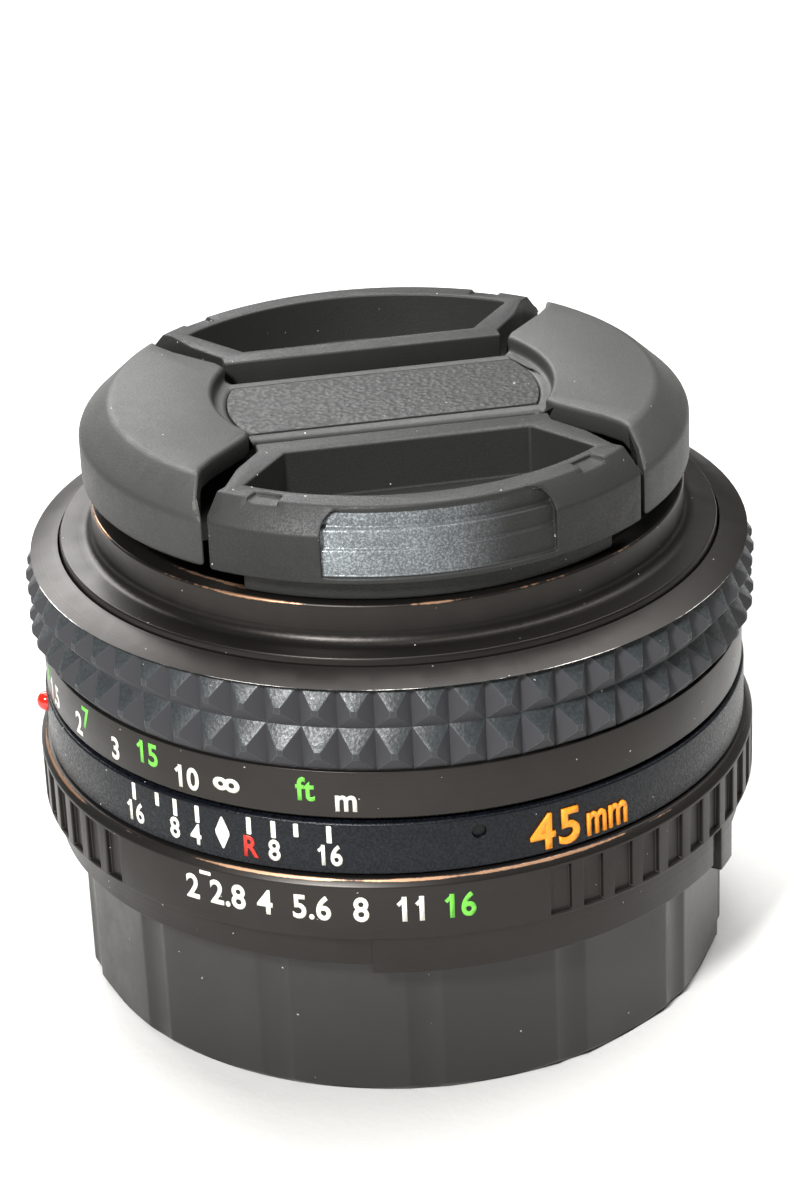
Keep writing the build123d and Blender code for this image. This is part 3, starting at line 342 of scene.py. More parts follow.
def build_pebbles():
    """Pebbled skin of the cap's centre plate."""
    tree, entry, leave = start_group("Pebbled Skin", [("Scale", 1500.0)], ["Height", "Tone"])
    place = object_place(tree)
    cells = tree.nodes.new("ShaderNodeTexVoronoi")
    cells.feature = "SMOOTH_F1"
    plug(tree, place, cells.inputs["Vector"])
    plug(tree, entry.outputs["Scale"], cells.inputs["Scale"])
    rough = noise(tree, place, sums(tree, "MULTIPLY", entry.outputs["Scale"], 0.8), 4.0, 0.6)
    height = sums(tree, "ADD", sums(tree, "SUBTRACT", 0.8, cells.outputs["Distance"]),
                  sums(tree, "MULTIPLY", rough, 0.9))
    plug(tree, height, leave.inputs["Height"])
    plug(tree, spread(tree, height, 0.55, 1.1, 0.0, 1.0), leave.inputs["Tone"])
    return tree


DUST_COLOUR = (0.55, 0.53, 0.5)
# Colour of the painted sheen in a tab's finger recess
RECESS_SHEEN_COLOUR = (0.5, 0.55, 0.58)
GROUP_MAKERS = {
    "Fine Grain": build_grain,
    "Turned Finish": build_turned,
    "Ring Edge Wear": build_ring_wear,
    "Dust Specks": build_dust,
    "Handling Marks": build_smudges,
    "Pebbled Skin": build_pebbles,
    "Polished Recess": build_recess_sheen,
}


def place_group(tree, name, **values):
    """Put a shared effect into a material with its own values."""
    node = tree.nodes.new("ShaderNodeGroup")
    node.node_tree = bpy.data.node_groups.get(name) or GROUP_MAKERS[name]()
    for label, value in values.items():
        node.inputs[label.replace("_", " ").title()].default_value = value
    return node


def blend_colours(tree, share, first, second):
    """Colour between two, by a mask."""
    node = tree.nodes.new("ShaderNodeMix")
    node.data_type = "RGBA"
    plug(tree, share, node.inputs[0])
    plug(tree, first, node.inputs[6])
    plug(tree, second, node.inputs[7])
    return node.outputs[2]


def rgba(colour, gain=1.0):
    """Colour with full alpha."""
    return tuple(min(part * gain, 1.0) for part in colour[:3]) + (1.0,)


def finish_of(name, colour, shade=0.7, roughness=(0.35, 0.5), metallic=0.0, relief="Fine Grain",
              relief_scale=4000.0, depth=0.00002, mottle=0.3, marks=60.0, wear=(), edge_wear_and_highlight_colour=(0.6, 0.35, 0.2),
              dust=0.03, recess=None, **sockets):
    """A finish with its mottling, relief, worn edges (partly painted highlight on the focus ring), painted
    recess sheen and dust.
    """
    material = bpy.data.materials.get(name)
    if material:
        return material
    material = bpy.data.materials.new(name)
    material.use_nodes = True
    tree = material.node_tree
    shader = tree.nodes["Principled BSDF"]
    surface = place_group(tree, relief, scale=relief_scale)
    handled = place_group(tree, "Handling Marks", scale=marks)
    specks = place_group(tree, "Dust Specks", scale=850.0, share=dust * 6, size=0.05)
    tone = sums(tree, "ADD", sums(tree, "MULTIPLY", handled.outputs["Tone"], 1.0 - mottle),
                sums(tree, "MULTIPLY", surface.outputs["Tone"], mottle), clamp=True)
    tint = blend_colours(tree, tone, rgba(colour, shade), rgba(colour))
    rough = spread(tree, tone, 0.0, 1.0, roughness[1], roughness[0])
    shine = None
    for radius, height, width, share in wear:
        edge = place_group(tree, "Ring Edge Wear", radius=radius, height=height, width=width, share=share)
        tint = blend_colours(tree, edge.outputs["Mask"], tint, rgba(edge_wear_and_highlight_colour))
        shine = edge.outputs["Mask"] if shine is None else sums(tree, "MAXIMUM", shine, edge.outputs["Mask"])
    # Painted sheen in the finger recess: lighter, bluish, more metallic and smoother, brightest at one end
    if recess:
        recess_sheen = place_group(tree, "Polished Recess", radius=recess[0], low=recess[1], high=recess[2])
        tint = blend_colours(tree, recess_sheen.outputs["Mask"], tint, rgba(RECESS_SHEEN_COLOUR))
        shine = sums(tree, "MULTIPLY", recess_sheen.outputs["Mask"], 0.55)
        smoother = sums(tree, "SUBTRACT", rough, sums(tree, "MULTIPLY", recess_sheen.outputs["Mask"], 0.2))
        rough = spread(tree, smoother, 0.0, 1.0, 0.0, 1.0)
    tint = blend_colours(tree, specks.outputs["Mask"], tint, rgba(DUST_COLOUR))
    rough = sums(tree, "MAXIMUM", rough, sums(tree, "MULTIPLY", specks.outputs["Mask"], 0.9))
    plug(tree, tint, shader.inputs["Base Color"])
    plug(tree, rough, shader.inputs["Roughness"])
    if shine is None:
        shader.inputs["Metallic"].default_value = metallic
    else:
        plug(tree, sums(tree, "MAXIMUM", shine, metallic), shader.inputs["Metallic"])
    bump = tree.nodes.new("ShaderNodeBump")
    bump.inputs["Strength"].default_value = 1.0
    bump.inputs["Distance"].default_value = depth
    plug(tree, surface.outputs["Height"], bump.inputs["Height"])
    plug(tree, bump.outputs[0], shader.inputs["Normal"])
    for label, value in sockets.items():
        shader.inputs[label.replace("_", " ")].default_value = value
    return material


def colours():
    return bpy.context.scene.lens_colours


def times(colour, gain):
    """A colour made lighter or darker."""
    return [part * gain for part in colour]


# ---- Finishes by name ----

def cap_finish():
    return finish_of("moulded_cap_plastic", colours().cap_plastic, roughness=(0.46, 0.6), relief_scale=5200.0,
                     depth=0.000022, mottle=0.55, dust=0.035)


def shaded_tab_finish():
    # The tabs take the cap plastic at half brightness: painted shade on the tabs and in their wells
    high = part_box("cap_tab_front")[1].z
    return finish_of("moulded_tab_plastic", times(colours().cap_plastic, 0.5), roughness=(0.46, 0.6),
                     relief_scale=5200.0, depth=0.000022, mottle=0.55, dust=0.05,
                     recess=(26.02 * MM, high - 5.8 * MM, high - 0.6 * MM), Specular_IOR_Level=0.4)


def label_finish():
    return finish_of("pebbled_cap_plate", times(colours().cap_plastic, 0.7), shade=0.5,
                     roughness=(0.5, 0.68), relief="Pebbled Skin", relief_scale=2100.0, depth=0.00014,
                     mottle=0.8, dust=0.02)


def rear_cap_finish():
    return finish_of("smooth_rear_cap_plastic", colours().rear_plastic, shade=0.85, roughness=(0.34, 0.44),
                     relief_scale=2600.0, depth=0.000006, mottle=0.2, dust=0.02)


def rubber_finish():
    return finish_of("grip_rubber", colours().rubber, shade=0.6, roughness=(0.4, 0.55), relief_scale=3800.0,
                     depth=0.00003, mottle=0.5, marks=120.0, dust=0.10, Specular_IOR_Level=0.28)


def scuffed_rubber_finish():
    return finish_of("scuffed_rubber_edges", times(colours().rubber, 9.0), shade=0.35, roughness=(0.3, 0.5),
                     relief_scale=3800.0, depth=0.00003, mottle=0.6, marks=260.0, dust=0.10)


# Lighter rubber for the upward-facing facets: painted light falling on their tops
def lit_top_facet_rubber_finish():
    return finish_of("rubbed_rubber_facets", times(colours().rubber, 8.5), shade=0.3, roughness=(0.3, 0.5),
                     relief_scale=3200.0, depth=0.00005, mottle=0.65, marks=95.0, dust=0.12)


def anodised_finish(name, wear=(), edge_wear_and_highlight_colour=(0.62, 0.36, 0.22), gain=1.0, roughness=(0.3, 0.4)):
    return finish_of(name, times(colours().anodised, gain), shade=0.8, roughness=roughness,
                     metallic=0.75, relief="Turned Finish", relief_scale=7000.0, depth=0.000008, mottle=0.35,
                     marks=40.0, wear=wear, edge_wear_and_highlight_colour=edge_wear_and_highlight_colour, dust=0.05)


def paint_finish(paint):
    return finish_of(paint + "_paint", getattr(colours(), paint), shade=0.86, roughness=(0.4, 0.55),
                     relief_scale=6000.0, depth=0.00001, mottle=0.5, marks=900.0, dust=0.0)


# ---- Modelling helpers ----

def only(piece=None):
    """Deselect everything, then select and activate one piece."""
    if bpy.context.object and bpy.context.object.mode != "OBJECT":
        bpy.ops.object.mode_set(mode="OBJECT")
    bpy.ops.object.select_all(action="DESELECT")
    if piece:
        piece.select_set(True)
        bpy.context.view_layer.objects.active = piece


def edit(piece):
    """Edit a piece with everything in it selected."""
    only(piece)
    bpy.ops.object.mode_set(mode="EDIT")
    bpy.ops.mesh.select_mode(type="VERT")
    bpy.ops.mesh.select_all(action="SELECT")


def leave_edit():
    bpy.ops.object.mode_set(mode="OBJECT")


def edit_faces(piece, chosen):
    """Edit a piece with only the faces selected that pass a test."""
    edit(piece)
    bpy.ops.mesh.select_mode(type="FACE")
    bpy.ops.mesh.select_all(action="DESELECT")
    leave_edit()
    for face in piece.data.polygons:
        face.select = chosen(face)
    bpy.ops.object.mode_set(mode="EDIT")


def apply_modifier(piece, modifier):
    only(piece)
    bpy.ops.object.modifier_apply(modifier=modifier.name)


def rename(piece, name):
    piece.name = name
    piece.data.name = name


def settle(piece, body, slot, *finishes):
    """Put a finished piece at the origin, give it its finishes and let it ride on its body."""
    only(piece)
    bpy.ops.object.transform_apply(location=True, rotation=True, scale=True)
    if finishes:
        piece.data.materials.clear()
        for finish in finishes:
            piece.data.materials.append(finish)
    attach(piece, body)


def join(pieces, name):
    """Join pieces into the first one."""
    only()
    for piece in pieces:
        piece.select_set(True)
    bpy.context.view_layer.objects.active = pieces[0]
    if len(pieces) > 1:
        bpy.ops.object.join()
    rename(pieces[0], name)
    return pieces[0]


def softened(node, width, finish, segments=3, crease=28.0):
    """A copy of a CAD node with its doubles merged and its sharp edges rounded; it stands for the node."""
    mesh = nodes[node].data.copy()
    piece = bpy.data.objects.new(node + "_dressed", mesh)
    bpy.context.scene.collection.objects.link(piece)
    edit(piece)
    bpy.ops.mesh.remove_doubles(threshold=MERGED)
    bpy.ops.mesh.dissolve_limited(angle_limit=math.radians(0.4))
    leave_edit()
    rounding = piece.modifiers.new("rounding", "BEVEL")
    rounding.width = width
    rounding.segments = segments
    rounding.limit_method = "ANGLE"
    rounding.angle_limit = math.radians(crease)
    rounding.use_clamp_overlap = False
    apply_modifier(piece, rounding)
    only(piece)
    bpy.ops.object.shade_smooth_by_angle(angle=math.radians(crease))
    settle(piece, body_of_node[node], slot_of_node[node], finish)
    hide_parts(node)
    return piece


def wrap(piece, radius, bearing, height):
    """Bend a flat piece round a ring: x goes round it, y up it and z out of it."""
    for vertex in piece.data.vertices:
        across, up, out = vertex.co
        vertex.co = on_ring(radius + out, bearing + math.degrees(across / radius), height + up)


def slice_across(piece, step):
    """Cut a flat piece into narrow strips so that it bends smoothly."""
    reach = [vertex.co.x for vertex in piece.data.vertices]
    edit(piece)
    place = math.floor(min(reach) / step) * step
    while place < max(reach):
        bpy.ops.mesh.select_all(action="SELECT")
        bpy.ops.mesh.bisect(plane_co=(place, 0, 0), plane_no=(1, 0, 0))
        place += step
    leave_edit()


def add_flag(piece, left, top):
    """Give a figure's 1 its short slanted flag."""
    bpy.ops.mesh.primitive_plane_add(size=1.0, location=(0, 0, 0))
    flag = bpy.context.object
    edit(flag)
    bpy.ops.transform.resize(value=(0.24, 0.11, 1))
    bpy.ops.transform.translate(value=(-0.04, 0, 0))
    leave_edit()
    flag.data.transform(Matrix.Translation((left, top - 0.14, 0)) @ Matrix.Rotation(math.radians(42), 4, "Z"))
    only()
    flag.select_set(True)
    piece.select_set(True)
    bpy.context.view_layer.objects.active = piece
    bpy.ops.object.join()


def figure(text, height, radius, bearing, level, step, relief=0.0, narrow=0.86, stroke=0.026, lying=False):
    """One number or letter, engraved and filled or raised, on a ring."""
    only()
    bpy.ops.object.text_add(location=(0, 0, 0))
    piece = bpy.context.object
    piece.data.body = text
    piece.data.size = 1.0
    piece.data.align_x = "CENTER"
    piece.data.offset = stroke
    piece.data.resolution_u = 6
    piece.data.space_character = 1.04
    bpy.ops.object.convert(target="MESH")
    if lying:
        piece.data.transform(Matrix.Rotation(math.radians(90), 4, "Z"))
    ups = [vertex.co.y for vertex in piece.data.vertices]
    acrosses = [vertex.co.x for vertex in piece.data.vertices]
    if text[0] == "1":
        add_flag(piece, min(acrosses), max(ups))
    if len(text) > 1 and text[-1] == "1":
        add_flag(piece, max(acrosses) - (max(ups) - min(ups)) * ONE_WIDTH, max(ups))
    gain = height / (max(ups) - min(ups))
    acrosses = [vertex.co.x for vertex in piece.data.vertices]
    middle = Vector(((max(acrosses) + min(acrosses)) / 2, (max(ups) + min(ups)) / 2, 0))
    for vertex in piece.data.vertices:
        offset = vertex.co - middle
        vertex.co = Vector((offset.x * gain * narrow, offset.y * gain, 0))
    slice_across(piece, STRIP)
    edit(piece)
    bpy.ops.mesh.remove_doubles(threshold=MERGED)
    bpy.ops.mesh.extrude_region_move(TRANSFORM_OT_translate={"value": (0, 0, step + relief)})
    leave_edit()
    if relief:
        edit(piece)
        bpy.ops.mesh.normals_make_consistent(inside=False)
        leave_edit()
    wrap(piece, radius, bearing, level)
    return piece


def plate(width, height, radius, bearing, level, step, shape="BAR"):
    """A scale tick or the index diamond, as a thin painted plate on a ring."""
    only()
    bpy.ops.mesh.primitive_plane_add(size=1.0, location=(0, 0, 0))
    piece = bpy.context.object
    edit(piece)
    if shape == "DIAMOND":
        bpy.ops.transform.rotate(value=math.radians(45), orient_axis="Z", center_override=(0, 0, 0))
        bpy.ops.transform.resize(value=(width / math.sqrt(2), height / math.sqrt(2), 1))
    else:
        bpy.ops.transform.resize(value=(width, height, 1))
    bpy.ops.mesh.bevel(offset=min(width, height) * 0.18, segments=3, affect="VERTICES")
    leave_edit()
    slice_across(piece, STRIP)
    edit(piece)
    bpy.ops.mesh.extrude_region_move(TRANSFORM_OT_translate={"value": (0, 0, step)})
    leave_edit()
    wrap(piece, radius, bearing, level)
    return piece


# ---- The operators, one for each piece or group of like pieces ----

class LENS_OT_stage(bpy.types.Operator):
    """Lay a pale floor, light it softly and set the camera"""
    bl_idname = "lens.stage"
    bl_label = "Build Stage"

    def execute(self, context):
        only()
        bpy.ops.mesh.primitive_plane_add(size=4.0, location=(0, 0, 0))
        floor = context.object
        rename(floor, "stage_floor")
        edit(floor)
        bpy.ops.mesh.subdivide(number_cuts=3)
        leave_edit()
        floor.data.materials.append(finish_of(
            "pale_paper", (0.64, 0.635, 0.62), shade=0.97, roughness=(0.6, 0.75), relief_scale=900.0,
            depth=0.00004, mottle=0.3, marks=8.0, dust=0.0))
        for name, place, size, power in (
            ("light_key", (0.02, -0.55, 0.53), 0.12, 8.5),
            ("light_back", (-0.80, 0.60, 0.75), 0.7, 13.0),
            ("light_top", (0.05, 0.45, 1.25), 1.2, 28.0),
        ):
            bpy.ops.object.light_add(type="AREA", location=place)
            lamp = context.object
            lamp.name = name
            lamp.data.size = size
            lamp.data.energy = power
            aim = Vector((0, 0, 0.03)) - Vector(place)
            lamp.rotation_euler = aim.to_track_quat("-Z", "Y").to_euler()
        world = context.scene.world or bpy.data.worlds.new("studio_air")
        context.scene.world = world
        world.use_nodes = True
        world.node_tree.nodes["Background"].inputs[0].default_value = (1.0, 0.985, 0.96, 1)
        world.node_tree.nodes["Background"].inputs[1].default_value = 0.1
        bpy.ops.object.camera_add(location=(0.12637, -0.23469, 0.16197))
        camera = context.object
        camera.name = "view_camera"
        camera.rotation_euler = Euler((math.radians(64.08), math.radians(2.204), math.radians(27.09)), "XYZ")
        camera.data.lens = 99.9
        camera.data.sensor_width = 36.0
        camera.data.sensor_fit = "AUTO"
        camera.data.clip_start = 0.01
        camera.data.clip_end = 20.0
        context.scene.camera = camera
        context.scene.view_settings.view_transform = "Standard"
        return {"FINISHED"}


class LENS_OT_inner_finishes(bpy.types.Operator):
    """Give every CAD node that stays as it is its finish"""
    bl_idname = "lens.inner_finishes"
    bl_label = "Finish Metal and Glass"

    def execute(self, context):
        finishes = {
            "black_alloy": anodised_finish("black_anodised_alloy", gain=0.6),
            "ring_black": anodised_finish("black_ring_alloy"),
            "gloss_black": anodised_finish("black_gloss_alloy", gain=0.4),
            "cap_plastic": cap_finish(),
            "label_plastic": label_finish(),
            "rear_cap_plastic": rear_cap_finish(),
            "grip_rubber": rubber_finish(),
            "mount_chrome": finish_of(
                "chromed_mount", (0.72, 0.71, 0.69), shade=0.85, roughness=(0.16, 0.3), metallic=1.0,
                relief="Turned Finish", relief_scale=5200.0, depth=0.000006, dust=0.01),
            "brass": finish_of(
                "greased_brass", (0.72, 0.5, 0.2), shade=0.7, roughness=(0.22, 0.42), metallic=1.0,
                relief="Turned Finish", relief_scale=6000.0, depth=0.00001, dust=0.0),
            "steel": finish_of(
                "bright_steel", (0.6, 0.59, 0.57), shade=0.75, roughness=(0.2, 0.36), metallic=1.0,
                relief_scale=2500.0, depth=0.000006, dust=0.0),
            "iris_steel": finish_of(
                "blackened_iris_steel", (0.05, 0.052, 0.058), shade=0.6, roughness=(0.32, 0.5), metallic=0.8,
                relief_scale=3000.0, depth=0.000004, dust=0.0),
            "bead_red": finish_of(
                "red_index_bead", (0.78, 0.02, 0.01), shade=0.85, roughness=(0.1, 0.2), relief_scale=1200.0,
                depth=0.000004, dust=0.02, Coat_Weight=0.6, Coat_Roughness=0.08),
            "optical_glass": finish_of(
                "coated_glass", (0.93, 0.97, 0.95), shade=0.97, roughness=(0.0, 0.025), relief_scale=300.0,
                depth=0.0000002, dust=0.004, Transmission_Weight=1.0, IOR=1.62, Coat_Weight=0.35,
                Coat_Roughness=0.02, Coat_Tint=(0.55, 0.75, 1.0, 1.0)),
        }
        blackened = finish_of("blackened_set_screw", (0.012, 0.012, 0.013), shade=0.5, roughness=(0.35, 0.5),
                              metallic=0.6, relief_scale=2500.0, depth=0.000006, dust=0.0)
        for name, piece in nodes.items():
            finish = blackened if name == "scale_ring_screws" else finishes[slot_of_node[name]]
            piece.data.materials.clear()
            piece.data.materials.append(finish)
        return {"FINISHED"}


class LENS_OT_rubber_grip(bpy.types.Operator):
    """Mould the rubber grip: a band with rows of cut pyramids"""
    bl_idname = "lens.rubber_grip"
    bl_label = "Mould Rubber Grip"

    def execute(self, context):
        sizes = context.scene.lens_grip
        top = outer_radius("rubber_grip")
        base = top - sizes.depth
        wide = 2 * math.pi * base / sizes.around
        tall = (GRIP_HIGH - GRIP_LOW) / sizes.rows
        only()
        bpy.ops.mesh.primitive_cube_add(size=1.0, location=(0, 0, 0))
        block = context.object
        edit(block)
        bpy.ops.transform.translate(value=(0, 0, 0.5))
        bpy.ops.transform.resize(value=(wide, tall, sizes.depth), center_override=(0, 0, 0))
        leave_edit()
        edit_faces(block, lambda face: face.normal.z > 0.9)
        bpy.ops.transform.resize(value=(sizes.top_width / wide, sizes.top_height / tall, 1))
        leave_edit()
        edit_faces(block, lambda face: face.normal.z < -0.9)
        bpy.ops.mesh.delete(type="FACE")
        leave_edit()
        for finish in (rubber_finish(), scuffed_rubber_finish(), lit_top_facet_rubber_finish()):
            block.data.materials.append(finish)
        # Upward-facing facets get the lighter rubber as painted light from above; the rest get the plain rubber
        for face in block.data.polygons:
            face.material_index = 2 if face.normal.y > 0.3 else 0
        rounding = block.modifiers.new("rounding", "BEVEL")
        rounding.width = sizes.edge
        rounding.segments = 2
        rounding.limit_method = "ANGLE"
        rounding.angle_limit = math.radians(20)
        rounding.material = 1
        apply_modifier(block, rounding)
        pyramids = []
        for row in range(sizes.rows):
            for number in range(sizes.around):
                copy = bpy.data.objects.new("pyramid", block.data.copy())
                context.scene.collection.objects.link(copy)
                bearing = GRIP_START + (number + 0.5) * 360 / sizes.around
                wrap(copy, base, bearing, GRIP_LOW + (row + 0.5) * tall)
                pyramids.append(copy)
        bpy.data.objects.remove(block)
        grip = join(pyramids, "grip_pyramids")
        edit(grip)
        bpy.ops.mesh.remove_doubles(threshold=JOINED)
        leave_edit()
        only(grip)
        bpy.ops.object.shade_smooth_by_angle(angle=math.radians(24))
        settle(grip, "focus", "grip_rubber")
        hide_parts("rubber_grip")

        only()
        bpy.ops.mesh.primitive_plane_add(size=1.0, location=(0, 0, 0))
        band = context.object
        rename(band, "grip_band")
        inner = base - BAND_UNDERCUT
        edit(band)
        bpy.ops.transform.rotate(value=math.radians(90), orient_axis="X", center_override=(0, 0, 0))
        bpy.ops.transform.resize(value=(base - inner, 1, GRIP_HIGH - GRIP_LOW), center_override=(0, 0, 0))
        bpy.ops.transform.translate(value=((base + inner) / 2, 0, (GRIP_HIGH + GRIP_LOW) / 2))
        bpy.ops.mesh.spin(steps=128, angle=2 * math.pi, center=(0, 0, 0), axis=(0, 0, 1))
        bpy.ops.mesh.select_all(action="SELECT")
        bpy.ops.mesh.remove_doubles(threshold=JOINED)
        bpy.ops.mesh.normals_make_consistent(inside=False)
        leave_edit()
        only(band)
        bpy.ops.object.shade_smooth_by_angle(angle=math.radians(30))
        settle(band, "focus", "grip_rubber", rubber_finish())
        return {"FINISHED"}


class LENS_OT_front_cap(bpy.types.Operator):
    """Soften the front cap's body, its two tabs and its pebbled plate"""
    bl_idname = "lens.front_cap"
    bl_label = "Mould Front Cap"

    def execute(self, context):
        edges = context.scene.lens_edges
        softened("cap_body", edges.cap_body, cap_finish())
        softened("cap_tab_front", edges.cap_tab, shaded_tab_finish())
        softened("cap_tab_rear", edges.cap_tab, shaded_tab_finish())
        softened("cap_label", 0.1 * MM, label_finish())
        return {"FINISHED"}


class LENS_OT_cap_springs(bpy.types.Operator):
    """Halve the front cap's springs under the bridge, one half under each tab"""
    bl_idname = "lens.cap_springs"
    bl_label = "Wind Cap Springs"

    def execute(self, context):
        towards = on_ring(1.0, math.degrees(TAB_TURN), 0.0)
        steel = nodes["cap_springs"].data.materials[0]
        for name, squeeze, side in (("cap_springs_front", "front_tab_squeeze", 1.0),
                                    ("cap_springs_rear", "rear_tab_squeeze", -1.0)):
            half = bpy.data.objects.new(name, nodes["cap_springs"].data.copy())
            context.scene.collection.objects.link(half)
            edit(half)
            bpy.ops.mesh.remove_doubles(threshold=JOINED)
            bpy.ops.mesh.select_all(action="SELECT")
            bpy.ops.mesh.bisect(plane_co=(0, 0, 0), plane_no=towards * side, use_fill=True, clear_inner=True)
            leave_edit()
            rename(half, name)
            only(half)
            bpy.ops.object.shade_smooth_by_angle(angle=math.radians(40))
            settle(half, body_of_node["cap_springs"], slot_of_node["cap_springs"], steel)
            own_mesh(half)
            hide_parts("cap_springs")
        return {"FINISHED"}


class LENS_OT_rear_cap(bpy.types.Operator):
    """Soften the fluted rear cap"""
    bl_idname = "lens.rear_cap"
    bl_label = "Mould Rear Cap"

    def execute(self, context):
        softened("rear_cap", context.scene.lens_edges.rear_cap, rear_cap_finish(), crease=14.0)
        return {"FINISHED"}


class LENS_OT_rings(bpy.types.Operator):
    """Soften the metal rings' edges and rub them bright where they are handled; the focus ring's pale edge
    lines are partly worn metal and partly painted highlight
    """
    bl_idname = "lens.rings"
    bl_label = "Finish Rings"

    def execute(self, context):
        edge = context.scene.lens_edges.ring
        filter_radius = 25.9 * MM
        lip_radius = outer_radius("filter_ring")
        filter_alloy = anodised_finish("filter_ring_alloy", gain=1.4, wear=(
            (filter_radius, RIM_HIGH, 0.42 * MM, 0.22),
            (filter_radius - 1.5 * MM, RIM_HIGH, 0.9 * MM, 0.1),
            (lip_radius, RIM_HIGH - 3.35 * MM, 0.22 * MM, 0.05),
        ))
        # Pale lines at the grip's edge and the lower rim: partly worn metal, partly a painted highlight
        focus_alloy = anodised_finish("focus_ring_alloy", gain=1.5, edge_wear_and_highlight_colour=(0.75, 0.72, 0.68), wear=(
            (BAND_RADIUS + 0.5 * MM, GRIP_HIGH, 0.2 * MM, 0.08),
            (BAND_RADIUS, FOCUS_LOW, 0.2 * MM, 0.12),
        ))
        aperture_alloy = anodised_finish("aperture_ring_alloy", gain=1.5, roughness=(0.36, 0.46), wear=(
            (APERTURE_RADIUS - 0.45 * MM, APERTURE_TOP - 0.15 * MM, 0.34 * MM, 0.02),
        ))
        softened("filter_ring", edge, filter_alloy)
        softened("focus_ring", edge, focus_alloy)
        softened("aperture_ring", edge * 1.6, aperture_alloy)
        gloss = finish_of(
            "gloss_lacquered_ring", colours().gloss, shade=0.12, roughness=(0.22, 0.42), relief_scale=4200.0,
            depth=0.00004, mottle=0.8, marks=50.0, dust=0.05, Specular_IOR_Level=0.22)
        softened("scale_ring", edge, gloss)
        return {"FINISHED"}


class LENS_OT_aperture_scale(bpy.types.Operator):
    """Engrave and fill the aperture numbers"""
    bl_idname = "lens.aperture_scale"
    bl_label = "Engrave Aperture Scale"

    def execute(self, context):
        sizes = context.scene.lens_scales
        level = APERTURE_TOP - 2.65 * MM
        whites = []
        for text, bearing in (("2", -5.1), ("2.8", 1.0), ("4", 7.1), ("5.6", 14.4), ("8", 21.8),
                              ("11", 29.1)):
            whites.append(figure(text, sizes.stop_height, APERTURE_RADIUS, bearing, level, sizes.engraving))
        whites.append(plate(1.1 * MM, 0.35 * MM, APERTURE_RADIUS, -2.7, level + 1.6 * MM, sizes.engraving))
        settle(join(whites, "aperture_numbers"), "aperture", "ring_black", paint_finish("white"))
        green = figure("16", sizes.stop_height, APERTURE_RADIUS, 36.5, level, sizes.engraving)
        settle(join([green], "aperture_number_16"), "aperture", "ring_black", paint_finish("green"))
        return {"FINISHED"}


class LENS_OT_depth_scale(bpy.types.Operator):
    """Print the index, the depth-of-field lines and numbers and the raised focal length"""
    bl_idname = "lens.depth_scale"
    bl_label = "Print Depth Scale"

    def execute(self, context):
        sizes = context.scene.lens_scales
        lift = FIGURE_LIFT
        whites = [plate(1.45 * MM, 3.3 * MM, SCALE_RADIUS, 0.0, SCALE_HIGH - 2.2 * MM, lift, "DIAMOND")]
        for bearing, length in ((-17.3, 1.6), (-12.2, 1.25), (-8.6, 1.6), (-4.4, 1.6),
                                (4.6, 1.6), (8.6, 1.6), (12.2, 1.25), (17.3, 1.6)):
            whites.append(plate(0.42 * MM, length * MM, SCALE_RADIUS, bearing,
                                SCALE_HIGH - 0.25 * MM - length * MM / 2, lift))
        level = SCALE_HIGH - 3.0 * MM
        for text, bearing in (("16", -17.3), ("8", -8.9), ("4", -4.9), ("8", 8.6), ("16", 17.3)):
            whites.append(figure(text, sizes.depth_height, SCALE_RADIUS, bearing, level, lift, narrow=0.8))
        settle(join(whites, "depth_numbers"), "barrel", "gloss_black", paint_finish("white"))
        red = figure("R", sizes.depth_height, SCALE_RADIUS, 4.8, level, lift, narrow=0.8)
        settle(join([red], "infrared_letter"), "barrel", "gloss_black", paint_finish("red"))
        level = SCALE_HIGH - 2.6 * MM
        raised = [
            figure("4", sizes.focal_height, SCALE_RADIUS, 50.0, level, lift, RAISED, 1.0, 0.016),
            figure("5", sizes.focal_height, SCALE_RADIUS, 54.5, level, lift, RAISED, 1.0, 0.016),
            figure("mm", sizes.focal_height * 0.64, SCALE_RADIUS, 61.4, level - 0.5 * MM, lift, RAISED,
                   0.64, 0.014),
        ]
        settle(join(raised, "focal_length"), "barrel", "gloss_black", paint_finish("orange"))
        return {"FINISHED"}


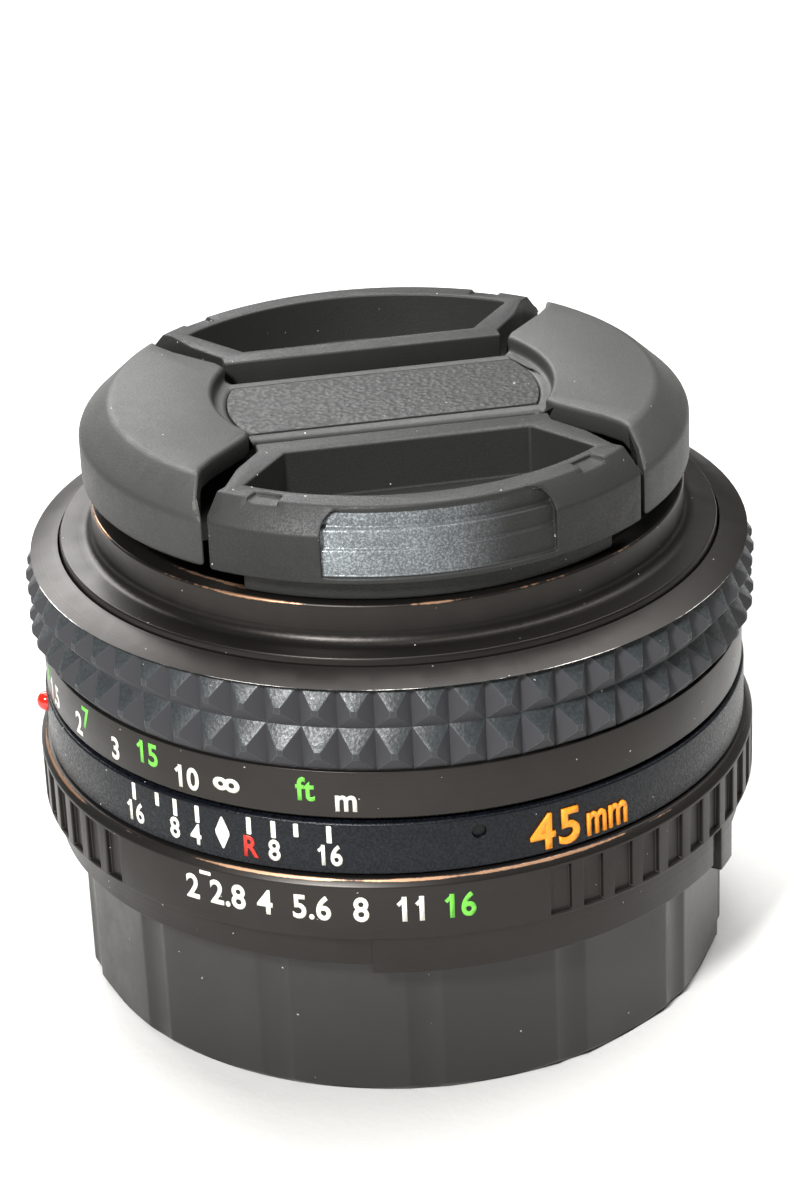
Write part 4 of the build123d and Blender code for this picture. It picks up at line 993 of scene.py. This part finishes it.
class LENS_OT_distance_scale(bpy.types.Operator):
    """Engrave and fill the distance scales in metres and feet"""
    bl_idname = "lens.distance_scale"
    bl_label = "Engrave Distance Scale"

    def execute(self, context):
        sizes = context.scene.lens_scales
        lift = sizes.engraving
        low = FOCUS_LOW + 1.75 * MM
        high = FOCUS_LOW + 2.75 * MM

        def bearing_of(distance):
            """Bearing of a distance in millimetres: the farther the ring turns, the nearer it focuses."""
            return 0.3 - 31.0 * 2025.0 / (distance - 94.0)

        metres = [figure("8", 1.3 * MM, BAND_RADIUS, 1.0, low + 0.25 * MM, lift, narrow=1.25, lying=True),
                  figure("m", 1.5 * MM, BAND_RADIUS, 20.1, low - 0.25 * MM, lift)]
        for text, bearing in (("10", -6.15), ("3", -21.65), ("2", bearing_of(2000)), ("1.5", bearing_of(1500)),
                              ("1", bearing_of(1000)), ("0.8", bearing_of(800)), ("0.7", bearing_of(700)),
                              ("0.6", bearing_of(600))):
            metres.append(figure(text, sizes.distance_height, BAND_RADIUS, bearing, low, lift))
        settle(join(metres, "distance_metres"), "focus", "black_alloy", paint_finish("white"))
        feet = [figure("ft", 2.2 * MM, BAND_RADIUS, 13.9, high - 0.1 * MM, lift)]
        for text, distance in (("5", 1524.0), ("4", 1219.2), ("3", 914.4), ("2.5", 762.0), ("2", 609.6)):
            bearing = bearing_of(distance) + FEET_MOVED.get(text, 0.0)
            feet.append(figure(text, sizes.distance_height, BAND_RADIUS, bearing, high, lift))
        feet.append(figure("15", sizes.distance_height, BAND_RADIUS, -14.0, high, lift))
        feet.append(figure("7", sizes.distance_height, BAND_RADIUS, -30.0, high, lift))
        settle(join(feet, "distance_feet"), "focus", "black_alloy", paint_finish("green"))
        return {"FINISHED"}


# ---- Panel ----

STEPS = (
    "lens.stage", "lens.inner_finishes", "lens.rubber_grip", "lens.front_cap", "lens.cap_springs",
    "lens.rear_cap", "lens.rings", "lens.aperture_scale", "lens.depth_scale", "lens.distance_scale",
)
SETTINGS = ("lens_grip", "lens_edges", "lens_scales", "lens_colours")


class LENS_PT_dressing(bpy.types.Panel):
    """Lists the lens pieces and their sizes and colours"""
    bl_idname = "LENS_PT_dressing"
    bl_label = "Prime Lens"
    bl_space_type = "VIEW_3D"
    bl_region_type = "UI"
    bl_category = "Prime Lens"

    def draw(self, context):
        for step in STEPS:
            self.layout.operator(step)
        for setting in SETTINGS:
            group = getattr(context.scene, setting)
            for key in group.__annotations__:
                self.layout.prop(group, key)


PROPERTY_GROUPS = (GripSizes, EdgeSizes, ScaleSizes, FinishColours)
CLASSES = PROPERTY_GROUPS + (
    LENS_OT_stage, LENS_OT_inner_finishes, LENS_OT_rubber_grip, LENS_OT_front_cap, LENS_OT_cap_springs,
    LENS_OT_rear_cap, LENS_OT_rings, LENS_OT_aperture_scale, LENS_OT_depth_scale, LENS_OT_distance_scale,
    LENS_PT_dressing,
)


def register():
    for item in CLASSES:
        bpy.utils.register_class(item)
    for setting, group in zip(SETTINGS, PROPERTY_GROUPS):
        setattr(bpy.types.Scene, setting, PointerProperty(type=group))


def unregister():
    for setting in SETTINGS:
        delattr(bpy.types.Scene, setting)
    for item in reversed(CLASSES):
        bpy.utils.unregister_class(item)


def main():
    register()
    bpy.ops.lens.stage()
    bpy.ops.lens.inner_finishes()
    bpy.ops.lens.rubber_grip()
    bpy.ops.lens.front_cap()
    bpy.ops.lens.cap_springs()
    bpy.ops.lens.rear_cap()
    bpy.ops.lens.rings()
    bpy.ops.lens.aperture_scale()
    bpy.ops.lens.depth_scale()
    bpy.ops.lens.distance_scale()
    bpy.context.view_layer.update()


if __name__ == "__main__":
    main()
